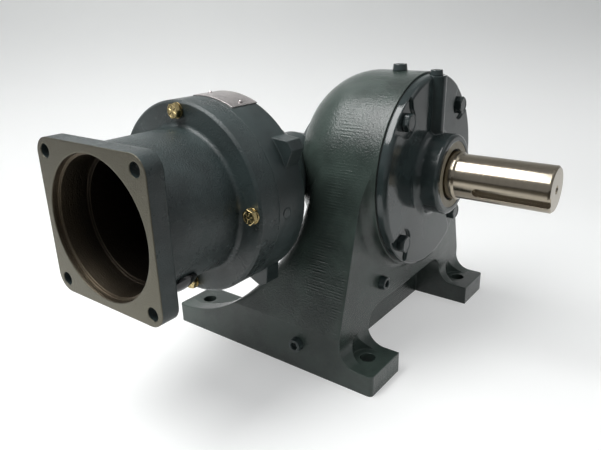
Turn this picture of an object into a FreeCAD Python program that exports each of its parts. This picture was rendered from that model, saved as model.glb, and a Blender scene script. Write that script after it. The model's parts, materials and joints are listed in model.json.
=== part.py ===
"""Right-angle, foot-mounted gear reducer: bevel first stage, planetary second stage.

Frame: millimetres, +Z up.  The origin is the centre of the four foot holes, on the mounting plane.
+X points out along the output shaft.  The motor flange faces -Y.
"""
import FreeCAD
import Part
import math
import os

Vector = FreeCAD.Vector
X_AXIS = Vector(1, 0, 0)
Y_AXIS = Vector(0, 1, 0)
Z_AXIS = Vector(0, 0, 1)

# General clearances
running_fit = 0.05
seat_fit = 0.03
play = 1.0

# Bolts and pins that stand four to a face
bolts_per_face = 4
bolt_turn = 45.0

# Feet and legs
axis_height = 173.0
base_length = 243.0
base_width = 260.0
base_corner_r = 4.0
foot_thickness = 20.0
foot_pad_width = 50.0
foot_hole_d = 14.3
foot_spot_r = 14.0
foot_hole_dx = 203.2
foot_hole_dy = 206.4
splay_start_z = 46.0
leg_wall = 15.0
leg_edge_r = 2.0
front_foot_fillet = 18.0
arch_height = 53.0
arch_corner_r = 20.0
web_front_x = 60.0
sump_wall = 13.0

# Round body of the casing
dome_r = 92.0
back_seat_x = 22.5
dome_round_x = 50.0
dome_back_round = 60.0
leg_front_x = 88.0
seat_x = 99.0
rim_flare = 9.0
back_wall = 12.5
gear_bore_r = 70.0
gear_shoulder_x = 60.0
chamber_r = 64.0

# Output cover
gasket_t = 0.8
cover_step = 1.5
cover_t = 9.0
cover_edge_r = 4.0
boss_r = 37.5
boss_x = 130.0
boss_edge_r = 3.0
boss_root_r = 6.0
cover_bolt_edge = 12.3
cover_bolt_d = 9.5
cover_bolt_head = 14.3
cover_bolt_head_t = 6.4
spot_face_r = 14.0
spot_face_depth = 2.2
spot_flare = 22.0
rib_r = 9.5
rib_sink = 1.5
rib_edge = 1.5
cover_hub_r = 46.0
cover_spigot_wall = 9.0
boss_lip_r = 27.0
seal_r = 31.0
seal_t = 8.0
seal_lip_height = 2.0
seal_recess = 0.3

# Output shaft
shaft_d = 41.275
shaft_end_x = 221.0
seal_journal_d = 44.45
shaft_step_x = 138.0
shaft_chamfer = 1.6
key_slot_width = 9.525
key_slot_depth = 4.8
key_slot_start_x = 155.0
key_slot_angle = 205.0
centre_hole_r = 4.0

# Planetary stage
gear_module = 2.0
sun_teeth = 18
planet_teeth = 21
ring_teeth = 60
planet_count = 3
pressure_angle = math.radians(20)
backlash = 0.30
gear_face_x = 64.0
gear_face = 20.0
root_factor = 1.25
planet_pin_r = 9.0
bush_wall = 3.0
carrier_r = 56.0
carrier_plate_t = 8.0
front_plate_t = 7.0
post_r = 12.0
sun_shaft_r = 12.0
ring_gear_length = 29.0
carrier_bore_r = 17.0
carrier_shoulder = 4.0
carrier_screw_r = 3.5
carrier_screw_head_r = 6.0
carrier_screw_head_t = 4.8
carrier_screw_grip = 14.0

# Bevel stage
input_x = -26.0
bevel_module = 2.5
pinion_teeth = 16
wheel_teeth = 32
bevel_face = 12.0
bevel_backlash = 0.40
bevel_root_factor = 1.2
wheel_front = 17.5
wheel_front_r = 24.0
wheel_rim = 28.5
wheel_hub_r = 18.0
wheel_key = (6.0, 3.0, 2.8)
wheel_thread_r = 10.0
nut_flats = 27.0
nut_t = 7.0
pinion_front = 29.5
pinion_shoulder_r = 16.0
seal_journal_r = 12.0

# Bearings: bore radius, outer radius, width
front_bearing = (22.5, 34.0, 12.0)
carrier_bearing = (25.0, 40.0, 16.0)
sun_bearing = (12.5, 23.5, 12.0)
pinion_bearing = (12.5, 26.0, 15.0)
race_share = 0.28
roller_play = 0.08
roller_count = 12
front_bearing_x = 96.0
carrier_bearing_x = 36.0
sun_bearing_xs = (6.5, 22.0)
pinion_bearing_y = -62.0
outer_bearing_inset = 17.4

# Bevel case and its bearing carrier
case_r = 49.0
case_wall = 5.5
case_flange_r = 62.0
case_flange_t = 8.0
case_back_x = -34.0
carrier_flange_t = 6.0
case_bolt_edge = 6.0
case_bolt_count = 6
case_bolt_turn = 30.0
case_bolt_d = 7.0
case_bolt_head = 10.5
case_bolt_head_t = 4.5
case_end_r = 27.0
case_taper_x = -14.0
neck_r = 32.0
neck_end_r = 27.0
neck_taper_y = -40.0
neck_flare_y = -60.0
neck_flare_step = 3.55
end_cap_r = 21.5
end_cap_t = 4.0
end_cap_bore_r = 17.0
end_cap_screw_r = 1.5
end_cap_screw_head_r = 2.2
end_cap_screw_edge = 2.3

# Input ring, motor adaptor and motor flange
ring_gap = 2.6
ring_length = 34.6
disc_t = 22.2
adaptor_neck_length = 86.6
flange_side = 127.0
flange_corner_r = 14.0
flange_t = 15.0
flange_hole_d = 11.1
flange_bolt_circle = 149.225
pilot_d = 114.3
pilot_depth = 5.5
adaptor_bore_r = 55.0
adaptor_neck_r = 61.5
adaptor_disc_r = 82.55
ring_wall = 18.0
ring_edge = 1.5
ring_hub_r = 34.0
ring_floor_y = -85.0
adaptor_bolt_edge = 7.95
adaptor_bolt_d = 7.9
lug_height = 11.95
lug_inset = 2.4
lug_length = 16.0
lug_count = 3
lug_spacing = 90.0
lug_first_angle = 30.0
lug_base_half = 9.5
lug_tip_half = 2.6
adaptor_bolt_head = 12.7
adaptor_bolt_head_t = 5.3
adaptor_washer_t = 2.0
adaptor_washer_r = 7.3
adaptor_bolt_grip = 13.0
adaptor_inner_r = 52.0
adaptor_fillet = 3.5
disc_edge = 2.0
access_hole_r = 11.0
access_reach = 47.6
access_angle = -50.0
cap_rim = 1.5
cap_rise = 4.0
ring_pip_r = 4.5
ring_pip_inset = 25.1
ring_pip_angle = -4.0

# Coupling half on the input shaft
coupling_r = 27.0
coupling_reach = 22.6
coupling_length = 44.0
coupling_jaw = 14.0
jaw_inner_r = 13.0
jaw_half_angle = 22.0
spider_leg_angle = 15.0
input_end_r = 11.11
input_key = (4.76, 2.4, 2.4)
coupling_key_length = 20.0
input_seal_t = 7.0

# Plugs, pins and small pieces
plug_r = 7.0
plug_height = 6.0
plug_shank_r = 5.0
plug_depth = 12.0
rib_plug_shank_r = 4.0
rib_plug_depth = 40.0
filler_x = 70.6
level_y = -55.5
level_z = 73.0
drain_x = 41.5
drain_z = 27.0
cover_bolt_grip = 22.0
case_bolt_grip = 11.0
ring_pin_r = 2.5
ring_pin_length = 14.0
ring_pin_edge = 3.0
spigot_r = 36.0
plate_t = 0.8
plate_width = 30.0
plate_inset = 15.4
plate_angle = 81.0
plate_span = 31.0
rivet_r = 1.6
rivet_inset = 3.5

# Radii that follow the round pieces they belong to
cover_r = dome_r - cover_step
cover_bolt_circle_r = cover_r - cover_bolt_edge
rib_top = cover_r - rib_edge
case_bolt_circle_r = case_flange_r - case_bolt_edge
end_cap_screw_circle_r = end_cap_r - end_cap_screw_edge
adaptor_bolt_circle_r = adaptor_disc_r - adaptor_bolt_edge
lug_tip_r = adaptor_disc_r + lug_height
neck_flare_r = adaptor_disc_r - neck_flare_step
ring_pin_circle_r = gear_bore_r - ring_pin_edge

# Places along the input axis, which stay clear of the legs
ring_back_y = -(base_width / 2 + ring_gap)
disc_back_y = ring_back_y - ring_length
disc_front_y = disc_back_y - disc_t
flange_face_y = disc_front_y - adaptor_neck_length
lug_back_y = ring_back_y - lug_inset
lug_front_y = lug_back_y - lug_length
ring_pip_y = ring_back_y - ring_pip_inset
plate_y = ring_back_y - plate_inset
access_y = disc_front_y - access_reach
coupling_front_y = disc_front_y - coupling_reach
pinion_bearing_ys = (pinion_bearing_y, ring_back_y - outer_bearing_inset)


def on_output(shape):
    """Move a shape built about the X axis up to the output axis."""
    return shape.translated(Vector(0, 0, axis_height))


def on_input(shape):
    """Move a shape built about the Y axis to the input axis."""
    return shape.translated(Vector(input_x, 0, axis_height))


def bar_x(radius, start, end, y=0.0, z=0.0):
    """Round bar along X."""
    return Part.makeCylinder(radius, end - start, Vector(start, y, z), X_AXIS)


def bar_y(radius, start, end, x=0.0, z=0.0):
    """Round bar along Y."""
    return Part.makeCylinder(radius, end - start, Vector(x, start, z), Y_AXIS)


def bar_z(radius, start, end, x=0.0, y=0.0):
    """Round bar along Z."""
    return Part.makeCylinder(radius, end - start, Vector(x, y, start), Z_AXIS)


def block(low, high):
    """Box between two corners."""
    size = Vector(*high) - Vector(*low)
    return Part.makeBox(size.x, size.y, size.z, Vector(*low))


def outline(points):
    """Closed wire through points; a triple (start, middle, end) is an arc that starts at its first point."""
    edges = []
    for index, item in enumerate(points):
        following = points[(index + 1) % len(points)]
        target = following[0] if isinstance(following, tuple) else following
        begin = item
        if isinstance(item, tuple):
            edges.append(Part.Arc(*item).toShape())
            begin = item[2]
        if begin.distanceToPoint(target) > 1e-6:
            edges.append(Part.LineSegment(begin, target).toShape())
    return Part.Wire(edges)


def corner_arc(centre, radius, first, last, place):
    """Arc about a centre between two angles in degrees, as a triple for outline()."""
    triple = []
    for angle in (first, (first + last) / 2, last):
        turn = math.radians(angle)
        triple.append(place(centre[0] + radius * math.cos(turn), centre[1] + radius * math.sin(turn)))
    return tuple(triple)


def along_x(x, r):
    """Profile point at x and radius r, for a turned piece on the X axis."""
    return Vector(x, r, 0)


def along_y(y, r):
    """Profile point at y and radius r, for a turned piece on the Y axis."""
    return Vector(r, y, 0)


def side_view(x, z):
    """Point of an outline seen along Y."""
    return Vector(x, 0, z)


def front_view(y, z):
    """Point of an outline seen along X."""
    return Vector(0, y, z)


def turned(points, axis):
    """Solid of revolution of a closed profile."""
    return Part.Face(outline(points)).revolve(Vector(0, 0, 0), axis, 360)


def turned_x(pairs):
    """Turned piece about X from (x, r) pairs and arcs."""
    return turned([p if len(p) == 3 else along_x(*p) for p in pairs], X_AXIS)


def turned_y(pairs):
    """Turned piece about Y from (y, r) pairs and arcs."""
    return turned([p if len(p) == 3 else along_y(*p) for p in pairs], Y_AXIS)


def prism(points, start, length):
    """Prism of a closed outline, from a start vector along a length vector."""
    return Part.Face(outline(points)).translated(start).extrude(length)


def ring_x(outer, inner, start, end):
    """Plain ring about the X axis."""
    return bar_x(outer, start, end).cut(bar_x(inner, start, end))


def ring_y(outer, inner, start, end):
    """Plain ring about the Y axis."""
    return bar_y(outer, start, end).cut(bar_y(inner, start, end))


def sector_y(inner, outer, half_angle, start, end):
    """Ring sector about Y, centred on +X."""
    turn = math.radians(half_angle)
    reach = 2 * outer
    wedge = prism([Vector(0, 0, 0), Vector(reach, 0, -reach * math.tan(turn)),
                   Vector(reach, 0, reach * math.tan(turn))], Vector(0, start, 0), Vector(0, end - start, 0))
    return ring_y(outer, inner, start, end).common(wedge)


def around_x(shape, count, first=0.0):
    """Copies of a shape spread evenly about the X axis."""
    step = 360.0 / count
    return [shape.rotated(Vector(0, 0, 0), X_AXIS, first + step * i) for i in range(count)]


def around_y(shape, count, first=0.0):
    """Copies of a shape spread evenly about the Y axis."""
    step = 360.0 / count
    return [shape.rotated(Vector(0, 0, 0), Y_AXIS, first + step * i) for i in range(count)]


def hexagon(across_flats, height):
    """Hexagonal prism on the XY plane, rising along Z."""
    corner = across_flats / math.sqrt(3)
    points = [Vector(corner, 0, 0)]
    for i in range(1, 6):
        turn = math.radians(60 * i)
        points.append(Vector(corner * math.cos(turn), corner * math.sin(turn), 0))
    return prism(points, Vector(0, 0, 0), Vector(0, 0, height))


def hex_bolt(across_flats, head, diameter, length):
    """Bolt along Z with the underside of its head at z = 0 and a crowned head above."""
    crown = Part.makeCone(across_flats * 0.72, across_flats * 0.40, head * 1.25, Vector(0, 0, 0), Z_AXIS)
    return hexagon(across_flats, head).common(crown).fuse(bar_z(diameter / 2, -length, 0))


def socket_plug(radius, height, shank_r, depth):
    """Pipe plug along Z, seated at z = 0, with a hexagon socket in its head."""
    socket = hexagon(radius, height).translated(Vector(0, 0, height * 0.35))
    body = Part.makeCone(radius, radius * 0.88, height, Vector(0, 0, 0), Z_AXIS)
    return body.fuse(bar_z(shank_r, -depth, 0)).cut(socket)


def pointing(shape, direction, place):
    """Turn a shape built along +Z to a direction and move it to a place."""
    turn = FreeCAD.Rotation(Z_AXIS, direction)
    return shape.transformGeometry(FreeCAD.Placement(place, turn).toMatrix())


# Spur and internal gear teeth


def tooth_radii(root_r, tip_r, base_r):
    """Radii of the points along one flank, the root first."""
    start = max(root_r, base_r)
    steps = [start + (tip_r - start) * i / 3 for i in range(4)]
    return steps if start == root_r else [root_r] + steps


def gear_outline(teeth, tip_r, root_r, half_tooth):
    """Points of an involute outline in the YZ plane, with one tooth centred on +Y."""
    pitch_r = gear_module * teeth / 2
    base_r = pitch_r * math.cos(pressure_angle)
    pitch_roll = math.tan(pressure_angle) - pressure_angle
    flank = []
    for radius in tooth_radii(root_r, tip_r, base_r):
        local = math.acos(min(1.0, base_r / radius))
        flank.append((radius, half_tooth + pitch_roll - (math.tan(local) - local)))
    points = []
    for tooth in range(teeth):
        centre = 2 * math.pi * tooth / teeth
        for radius, spread in flank:
            points.append(front_view(radius * math.cos(centre - spread), radius * math.sin(centre - spread)))
        for radius, spread in reversed(flank):
            points.append(front_view(radius * math.cos(centre + spread), radius * math.sin(centre + spread)))
    return points


def spur_gear(teeth, start, end):
    """External gear about the X axis."""
    pitch_r = gear_module * teeth / 2
    half_tooth = math.pi / (2 * teeth) - backlash / 4 / pitch_r
    points = gear_outline(teeth, pitch_r + gear_module, pitch_r - root_factor * gear_module, half_tooth)
    return prism(points, Vector(start, 0, 0), Vector(end - start, 0, 0))


def ring_tooth_space(start, end):
    """Toothed core that cuts the internal gear, with one space centred on +Y."""
    pitch_r = gear_module * ring_teeth / 2
    half_space = math.pi / (2 * ring_teeth) + backlash / 4 / pitch_r
    points = gear_outline(ring_teeth, pitch_r + root_factor * gear_module, pitch_r - gear_module, half_space)
    return prism(points, Vector(start, 0, 0), Vector(end - start, 0, 0))


# Bevel gear teeth


def bevel_angles(teeth, mate_teeth):
    """Pitch cone angle and outer cone distance of a right-angle bevel gear."""
    pitch = math.atan2(teeth, mate_teeth)
    return pitch, bevel_module * math.hypot(teeth, mate_teeth) / 2


def bevel_flank(teeth, mate_teeth):
    """Polar angle and half tooth angle of the points along one spherical involute flank."""
    pitch, cone = bevel_angles(teeth, mate_teeth)
    sin_base = math.sin(pitch) * math.cos(pressure_angle)
    base = math.asin(sin_base)
    tip = pitch + math.atan2(bevel_module, cone)
    root = pitch - math.atan2(bevel_root_factor * bevel_module, cone)

    def roll(polar):
        swing = math.acos(min(1.0, math.cos(polar) / math.cos(base)))
        return swing / sin_base - math.atan2(math.sin(swing), math.cos(swing) * sin_base)

    pitch_r = bevel_module * teeth / 2
    half_tooth = math.pi / (2 * teeth) - bevel_backlash / 4 / pitch_r
    return [(polar, half_tooth + roll(pitch) - roll(max(polar, base)))
            for polar in tooth_radii(root, tip, base)]


def tooth_pyramid(teeth, mate_teeth, height, first):
    """Toothed pyramid with its apex at the origin and its axis along +Z."""
    flank = bevel_flank(teeth, mate_teeth)
    base = []
    for tooth in range(teeth):
        centre = first + 2 * math.pi * tooth / teeth
        sides = [(polar, centre - spread) for polar, spread in flank]
        sides += [(polar, centre + spread) for polar, spread in reversed(flank)]
        for polar, turn in sides:
            reach = height * math.tan(polar)
            base.append(Vector(reach * math.cos(turn), reach * math.sin(turn), height))
    faces = [Part.Face(outline(base))]
    apex = Vector(0, 0, 0)
    for start, end in zip(base, base[1:] + base[:1]):
        faces.append(Part.Face(outline([apex, start, end])))
    return Part.Solid(Part.Shell(faces))


def bevel_point(teeth, mate_teeth, rise, share):
    """Axial and radial place of a tooth point: rise above the pitch cone, share of the cone distance."""
    pitch, cone = bevel_angles(teeth, mate_teeth)
    axial = cone * math.cos(pitch) - rise * math.sin(pitch)
    radial = cone * math.sin(pitch) + rise * math.cos(pitch)
    return axial * share, radial * share


def bevel_head(teeth, mate_teeth, front, back, first):
    """Toothed head about +Z, apex at the origin; front and back are the (z, r) points of its two faces."""
    inner = 1 - bevel_face / bevel_angles(teeth, mate_teeth)[1]
    under = -bevel_module * bevel_root_factor
    profile = list(front)
    profile.append(bevel_point(teeth, mate_teeth, under, inner))
    profile.append(bevel_point(teeth, mate_teeth, bevel_module, inner))
    profile.append(bevel_point(teeth, mate_teeth, bevel_module, 1.0))
    profile.append(bevel_point(teeth, mate_teeth, under, 1.0))
    profile += back
    blank = Part.Face(outline([Vector(r, 0, z) for z, r in profile])).revolve(Vector(0, 0, 0), Z_AXIS, 360)
    height = max(z for z, r in profile) + bevel_face
    return blank.common(tooth_pyramid(teeth, mate_teeth, height, first))


# Housing


def leg_outline(inset):
    """Front outline of the legs up to where they run into the round body, moved inwards by inset."""
    half = base_width / 2 - inset
    radius = dome_r - inset
    drop = axis_height - splay_start_z
    turn = math.atan2(-drop, half) + math.acos(radius / math.hypot(half, drop))
    touch_y = radius * math.cos(turn)
    touch_z = axis_height + radius * math.sin(turn)
    right = [front_view(half, 0), front_view(half, splay_start_z), front_view(touch_y, touch_z)]
    left = [Vector(0, -p.y, p.z) for p in reversed(right)]
    return right + [front_view(0, axis_height)] + left


def leg_prism(inset, start, end):
    """Prism of the leg outline between two x places."""
    return prism(leg_outline(inset), Vector(start, 0, 0), Vector(end - start, 0, 0))


def leg_sweep_r():
    """Radius of the long sweep, which ends upright at the back of the round body."""
    return base_length / 2 + back_seat_x


def casing_side_outline():
    """Side outline of the legs: flat feet, a short fillet in front and the long sweep behind."""
    end = base_length / 2
    top = axis_height + dome_r / 3
    fillet_centre = (leg_front_x + front_foot_fillet, foot_thickness + front_foot_fillet)
    sweep_centre = (-end, foot_thickness + leg_sweep_r())
    return [
        side_view(-end, 0),
        side_view(end, 0),
        side_view(end, foot_thickness),
        corner_arc(fillet_centre, front_foot_fillet, 270, 180, side_view),
        side_view(leg_front_x, top),
        side_view(back_seat_x, top),
        corner_arc(sweep_centre, leg_sweep_r(), 0, -90, side_view),
    ]


def rounded_base():
    """Upright prism of the base rectangle with rounded corners."""
    across = base_length / 2 - base_corner_r
    deep = base_width / 2 - base_corner_r
    corners = []
    for index, (sx, sy) in enumerate(((1, 1), (-1, 1), (-1, -1), (1, -1))):
        start = 90 * index
        corners.append(corner_arc((sx * across, sy * deep), base_corner_r, start, start + 90,
                                  lambda x, y: Vector(x, y, 0)))
    return prism(corners, Vector(0, 0, 0), Vector(0, 0, axis_height + dome_r))


def rear_edge(legs, side, low, high):
    """Outer rear edge of one leg between two heights."""
    for edge in legs.Edges:
        heights = sorted(corner.Z for corner in edge.Vertexes)
        middle = edge.BoundBox.Center
        if middle.x < back_seat_x + play and middle.y * side > 0 and len(heights) == 2:
            if abs(heights[0] - low) < play and abs(heights[1] - high) < play:
                return edge
    raise ValueError("leg edge not found")


def casing_legs():
    """Both legs with their feet; the rear edges are rounded more and more towards the round body."""
    end = base_length / 2
    sweep_top = foot_thickness + leg_sweep_r()
    side = prism(casing_side_outline(), Vector(0, -base_width / 2, 0), Vector(0, base_width, 0))
    legs = leg_prism(0, -end, end).common(side).common(rounded_base())
    for sign in (-1, 1):
        edge = rear_edge(legs, sign, splay_start_z, sweep_top)
        first, last = leg_edge_r, dome_round_x - back_seat_x
        if edge.Vertexes[0].Z > edge.Vertexes[1].Z:
            first, last = last, first
        legs = legs.makeFillet(first, last, [edge])
    return legs


def round_body(grown):
    """Round body with a bowl-shaped back around the recess of the case flange, grown by a margin."""
    back = case_front_x() - case_flange_t - grown
    bowl_r = dome_back_round + grown
    start = math.degrees(math.acos((back - dome_round_x) / bowl_r))
    bowl = corner_arc((dome_round_x, dome_r - dome_back_round), bowl_r, start, 90, along_x)
    recess = bar_x(case_flange_r + play - grown, back, back_seat_x)
    return turned_x([(back, 0), bowl, (seat_x, dome_r + grown), (seat_x, 0)]).cut(recess)


def casing_dome():
    """Round body with a flared rim in front of the legs."""
    flare_arc = corner_arc((leg_front_x + rim_flare, dome_r + rim_flare), rim_flare, 180, 270, along_x)
    flare = turned_x([(leg_front_x, dome_r - play), flare_arc, (leg_front_x + rim_flare, dome_r - play)])
    flare = on_output(flare).common(leg_prism(0, leg_front_x, seat_x))
    return on_output(round_body(0.0)).fuse(flare)


def leg_openings():
    """Arch under the front wall and the open bay behind, between the two legs."""
    end = base_length / 2
    half = base_width / 2 - foot_pad_width
    arch = [
        front_view(-half, -play),
        front_view(half, -play),
        corner_arc((half - arch_corner_r, arch_height - arch_corner_r), arch_corner_r, 0, 90, front_view),
        corner_arc((arch_corner_r - half, arch_height - arch_corner_r), arch_corner_r, 90, 180, front_view),
    ]
    front = prism(arch, Vector(web_front_x, 0, 0), Vector(end, 0, 0))
    low = block((-end - play, -half, -play), (back_seat_x, half, foot_thickness + play))
    above = block((-end - play, -base_width, foot_thickness), (back_seat_x, base_width, axis_height + dome_r))
    high = leg_prism(leg_wall, -end - play, back_seat_x).common(above)
    return [front, low, high]


def oil_sump():
    """Oil space under the gears and the slot that joins it to the gear chamber."""
    back = back_seat_x + back_wall
    middle = web_front_x - sump_wall
    front = leg_front_x - sump_wall
    top = axis_height - dome_r / 2
    sleeve = on_output(bar_x(gear_bore_r + sump_wall, back, seat_x))
    deep = leg_prism(sump_wall, back, middle)
    deep = deep.common(block((back, -base_width, sump_wall), (middle, base_width, top)))
    shallow = leg_prism(sump_wall, middle - play, front)
    shallow = shallow.common(block((0, -base_width, arch_height + sump_wall), (front, base_width, top)))
    slot_start = carrier_bearing_x + carrier_bearing[2] + 2 * play
    slot = block((slot_start, -post_r, axis_height - gear_bore_r - sump_wall - play),
                 (gear_shoulder_x - play, post_r, axis_height - chamber_r + sump_wall))
    return deep.fuse(shallow).cut(sleeve).fuse(slot)


def casing_bores():
    """Turned bores about the output axis."""
    bearing_end = carrier_bearing_x + carrier_bearing[2] + play
    spigot = bar_x(spigot_r + seat_fit, back_seat_x, carrier_bearing_x)
    seat = bar_x(carrier_bearing[1] + seat_fit, carrier_bearing_x, bearing_end)
    chamber = bar_x(chamber_r, bearing_end, gear_shoulder_x)
    gear_bore = bar_x(gear_bore_r + seat_fit, gear_shoulder_x, seat_x)
    return on_output(spigot.fuse([seat, chamber, gear_bore]))


def foot_holes():
    """Four upright holes in the feet, each with a spot face on top."""
    hole = bar_z(foot_hole_d / 2, -play, foot_thickness + play)
    spotted = hole.fuse(bar_z(foot_spot_r, foot_thickness, foot_thickness + front_foot_fillet))
    holes = []
    for sx in (-0.5, 0.5):
        for sy in (-0.5, 0.5):
            holes.append(spotted.translated(Vector(sx * foot_hole_dx, sy * foot_hole_dy, 0)))
    return holes


def casing_plug_holes():
    """Holes for the filler, level and drain plugs."""
    top = axis_height + dome_r
    radius = plug_shank_r + seat_fit
    filler = bar_z(radius, top - plug_depth, top + play, filler_x, 0)
    side = -base_width / 2
    level = bar_x(radius, leg_front_x - sump_wall - play, leg_front_x + play, level_y, level_z)
    drain = bar_y(radius, side - play, side + sump_wall + play, drain_x, drain_z)
    return [filler, level, drain]


def main_casing():
    """Foot-mounted casing in one casting."""
    body = casing_legs().cut(leg_openings()).fuse(casing_dome())
    cover_hole = bar_x(cover_bolt_d / 2 + seat_fit, seat_x - cover_bolt_grip, seat_x, cover_bolt_circle_r)
    case_end = back_seat_x + case_bolt_grip
    case_hole = bar_x(case_bolt_d / 2 + seat_fit, back_seat_x, case_end, case_bolt_circle_r)
    pin_hole = bar_x(ring_pin_r + seat_fit, gear_shoulder_x - ring_pin_length / 2, gear_shoulder_x,
                     ring_pin_circle_r)
    tools = [oil_sump(), casing_bores()] + foot_holes() + casing_plug_holes()
    drilled = around_x(cover_hole, bolts_per_face, bolt_turn) + around_x(pin_hole, bolts_per_face, bolt_turn)
    drilled += around_x(case_hole, case_bolt_count, case_bolt_turn)
    tools += [on_output(hole) for hole in drilled]
    return body.cut(tools).removeSplitter()


def cover_body():
    """Turned form of the output cover: spigot, flange with a rounded edge, and seal boss."""
    back = seat_x + gasket_t
    face = back + cover_t
    bearing_r = front_bearing[1] + seat_fit
    bearing_end = front_bearing_x + front_bearing[2]
    spigot_start = gear_shoulder_x + ring_gear_length
    seal_start = boss_x - seal_t - 2 * play
    return turned_x([
        (back, gear_bore_r - seat_fit),
        (back, cover_r),
        corner_arc((face - cover_edge_r, cover_r - cover_edge_r), cover_edge_r, 90, 0, along_x),
        corner_arc((face + boss_root_r, boss_r + boss_root_r), boss_root_r, 180, 270, along_x),
        corner_arc((boss_x - boss_edge_r, boss_r - boss_edge_r), boss_edge_r, 90, 0, along_x),
        (boss_x, seal_r + seat_fit),
        (seal_start, seal_r + seat_fit),
        (seal_start, boss_lip_r),
        (bearing_end, boss_lip_r),
        (bearing_end, bearing_r),
        (front_bearing_x - play, bearing_r),
        (front_bearing_x - play, cover_hub_r),
        (back - 2 * play, cover_hub_r),
        (back - 2 * play, gear_bore_r - cover_spigot_wall),
        (spigot_start, gear_bore_r - cover_spigot_wall),
        (spigot_start, gear_bore_r - seat_fit),
    ])


def cover_spot_face():
    """Flat cut for one bolt head, which widens towards the cover's rim, centred on +Y."""
    floor = seat_x + gasket_t + cover_t - spot_face_depth
    fan = [
        front_view(cover_bolt_circle_r, -spot_face_r),
        front_view(cover_bolt_circle_r + spot_face_r, -spot_flare),
        front_view(cover_bolt_circle_r + spot_face_r, spot_flare),
        front_view(cover_bolt_circle_r, spot_face_r),
    ]
    depth = 2 * spot_face_depth
    round_part = bar_x(spot_face_r, floor, floor + depth, cover_bolt_circle_r)
    return round_part.fuse(prism(fan, Vector(floor, 0, 0), Vector(depth, 0, 0)))


def output_cover():
    """Output cover with its grease rib, bolt holes and spot faces."""
    face = seat_x + gasket_t + cover_t
    rib_x = face - rib_sink
    rib = bar_z(rib_r, boss_r - play, rib_top, rib_x)
    grease_way = bar_z(rib_plug_shank_r + seat_fit, rib_top - rib_plug_depth, rib_top + play, rib_x)
    body = cover_body().fuse(rib.cut(bar_x(boss_r - play, face - cover_t, boss_x)))
    hole = bar_x(cover_bolt_d / 2 + seat_fit, seat_x, face, cover_bolt_circle_r)
    behind = ring_x(cover_r + rib_r, gear_bore_r, 0, seat_x + gasket_t)
    rib_face = bar_z(plug_r, rib_top, cover_r + play, rib_x)
    tools = around_x(hole, bolts_per_face, bolt_turn) + around_x(cover_spot_face(), bolts_per_face, bolt_turn)
    tools += [grease_way, behind, rib_face]
    return on_output(body.cut(tools).removeSplitter())


def cover_gasket():
    """Thin gasket between casing and cover."""
    disc = ring_x(cover_r, gear_bore_r, seat_x, seat_x + gasket_t)
    hole = bar_x(cover_bolt_d / 2 + seat_fit, seat_x, seat_x + gasket_t, cover_bolt_circle_r)
    return on_output(disc.cut(around_x(hole, bolts_per_face, bolt_turn)))


def cover_bolts():
    """Four hexagon bolts of the output cover."""
    seat = seat_x + gasket_t + cover_t - spot_face_depth
    length = seat - seat_x + cover_bolt_grip - play
    bolt = hex_bolt(cover_bolt_head, cover_bolt_head_t, cover_bolt_d, length)
    placed = pointing(bolt, X_AXIS, Vector(seat, cover_bolt_circle_r, 0))
    return on_output(Part.makeCompound(around_x(placed, bolts_per_face, bolt_turn)))


def output_seal():
    """Seal case in the boss, open towards the shaft."""
    end = boss_x - seal_recess
    lip_r = seal_journal_d / 2 + seal_lip_height
    return on_output(turned_x([(end - seal_t, lip_r), (end - seal_t, seal_r), (end, seal_r), (end, lip_r)]))


def output_seal_lip():
    """Rubber lip that runs on the shaft journal."""
    end = boss_x - seal_recess
    lip_r = seal_journal_d / 2 + seal_lip_height
    shaft_r = seal_journal_d / 2 + running_fit
    return on_output(turned_x([
        (end - seal_t + play, shaft_r),
        (end - seal_t, lip_r),
        (end - 2 * play, lip_r),
        (end - 2 * play, shaft_r + play),
        (end - seal_t / 2, shaft_r),
    ]))


def ring_gear():
    """Internal gear of the planetary stage, pinned to the casing."""
    end = gear_shoulder_x + ring_gear_length
    body = bar_x(gear_bore_r, gear_shoulder_x, end).cut(ring_tooth_space(gear_shoulder_x, end))
    pin_end = gear_shoulder_x + ring_pin_length / 2
    hole = bar_x(ring_pin_r + seat_fit, gear_shoulder_x, pin_end, ring_pin_circle_r)
    return on_output(body.cut(around_x(hole, bolts_per_face, bolt_turn)))


def ring_gear_pins():
    """Four pins that hold the ring gear from turning."""
    half = ring_pin_length / 2 - play
    pin = bar_x(ring_pin_r, gear_shoulder_x - half, gear_shoulder_x + half, ring_pin_circle_r)
    return on_output(Part.makeCompound(around_x(pin, bolts_per_face, bolt_turn)))


def bearing_rings(bearing):
    """Outer ring and flanged inner ring of a roller bearing about X, from x = 0."""
    bore_r, outer_r, width = bearing
    race = race_share * (outer_r - bore_r)
    lip = width / 6
    outer = ring_x(outer_r, outer_r - race, 0, width)
    track = bore_r + race
    inner = turned_x([
        (0, bore_r), (width, bore_r), (width, track + play), (width - lip, track + play),
        (width - lip, track), (lip, track), (lip, track + play), (0, track + play),
    ])
    return outer, inner


def roller_size(bearing):
    """Pitch radius, roller radius, roller start and roller length of a bearing."""
    bore_r, outer_r, width = bearing
    gap = (outer_r - bore_r) * (1 - 2 * race_share)
    start = width / 6 + roller_play
    return (bore_r + outer_r) / 2, gap / 2 - roller_play, start, width - 2 * start


def roller_set(bearing):
    """Rollers and their cage about X, as a list of solids."""
    pitch_r, radius, start, length = roller_size(bearing)
    width = bearing[2]
    roller = bar_x(radius, start, start + length, pitch_r)
    pocket = bar_x(radius + roller_play, start - roller_play, start + length + roller_play, pitch_r)
    rim = radius / 2
    cage = ring_x(pitch_r + rim, pitch_r - rim, play, width - play)
    return [cage.cut(around_x(pocket, roller_count))] + around_x(roller, roller_count)


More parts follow.
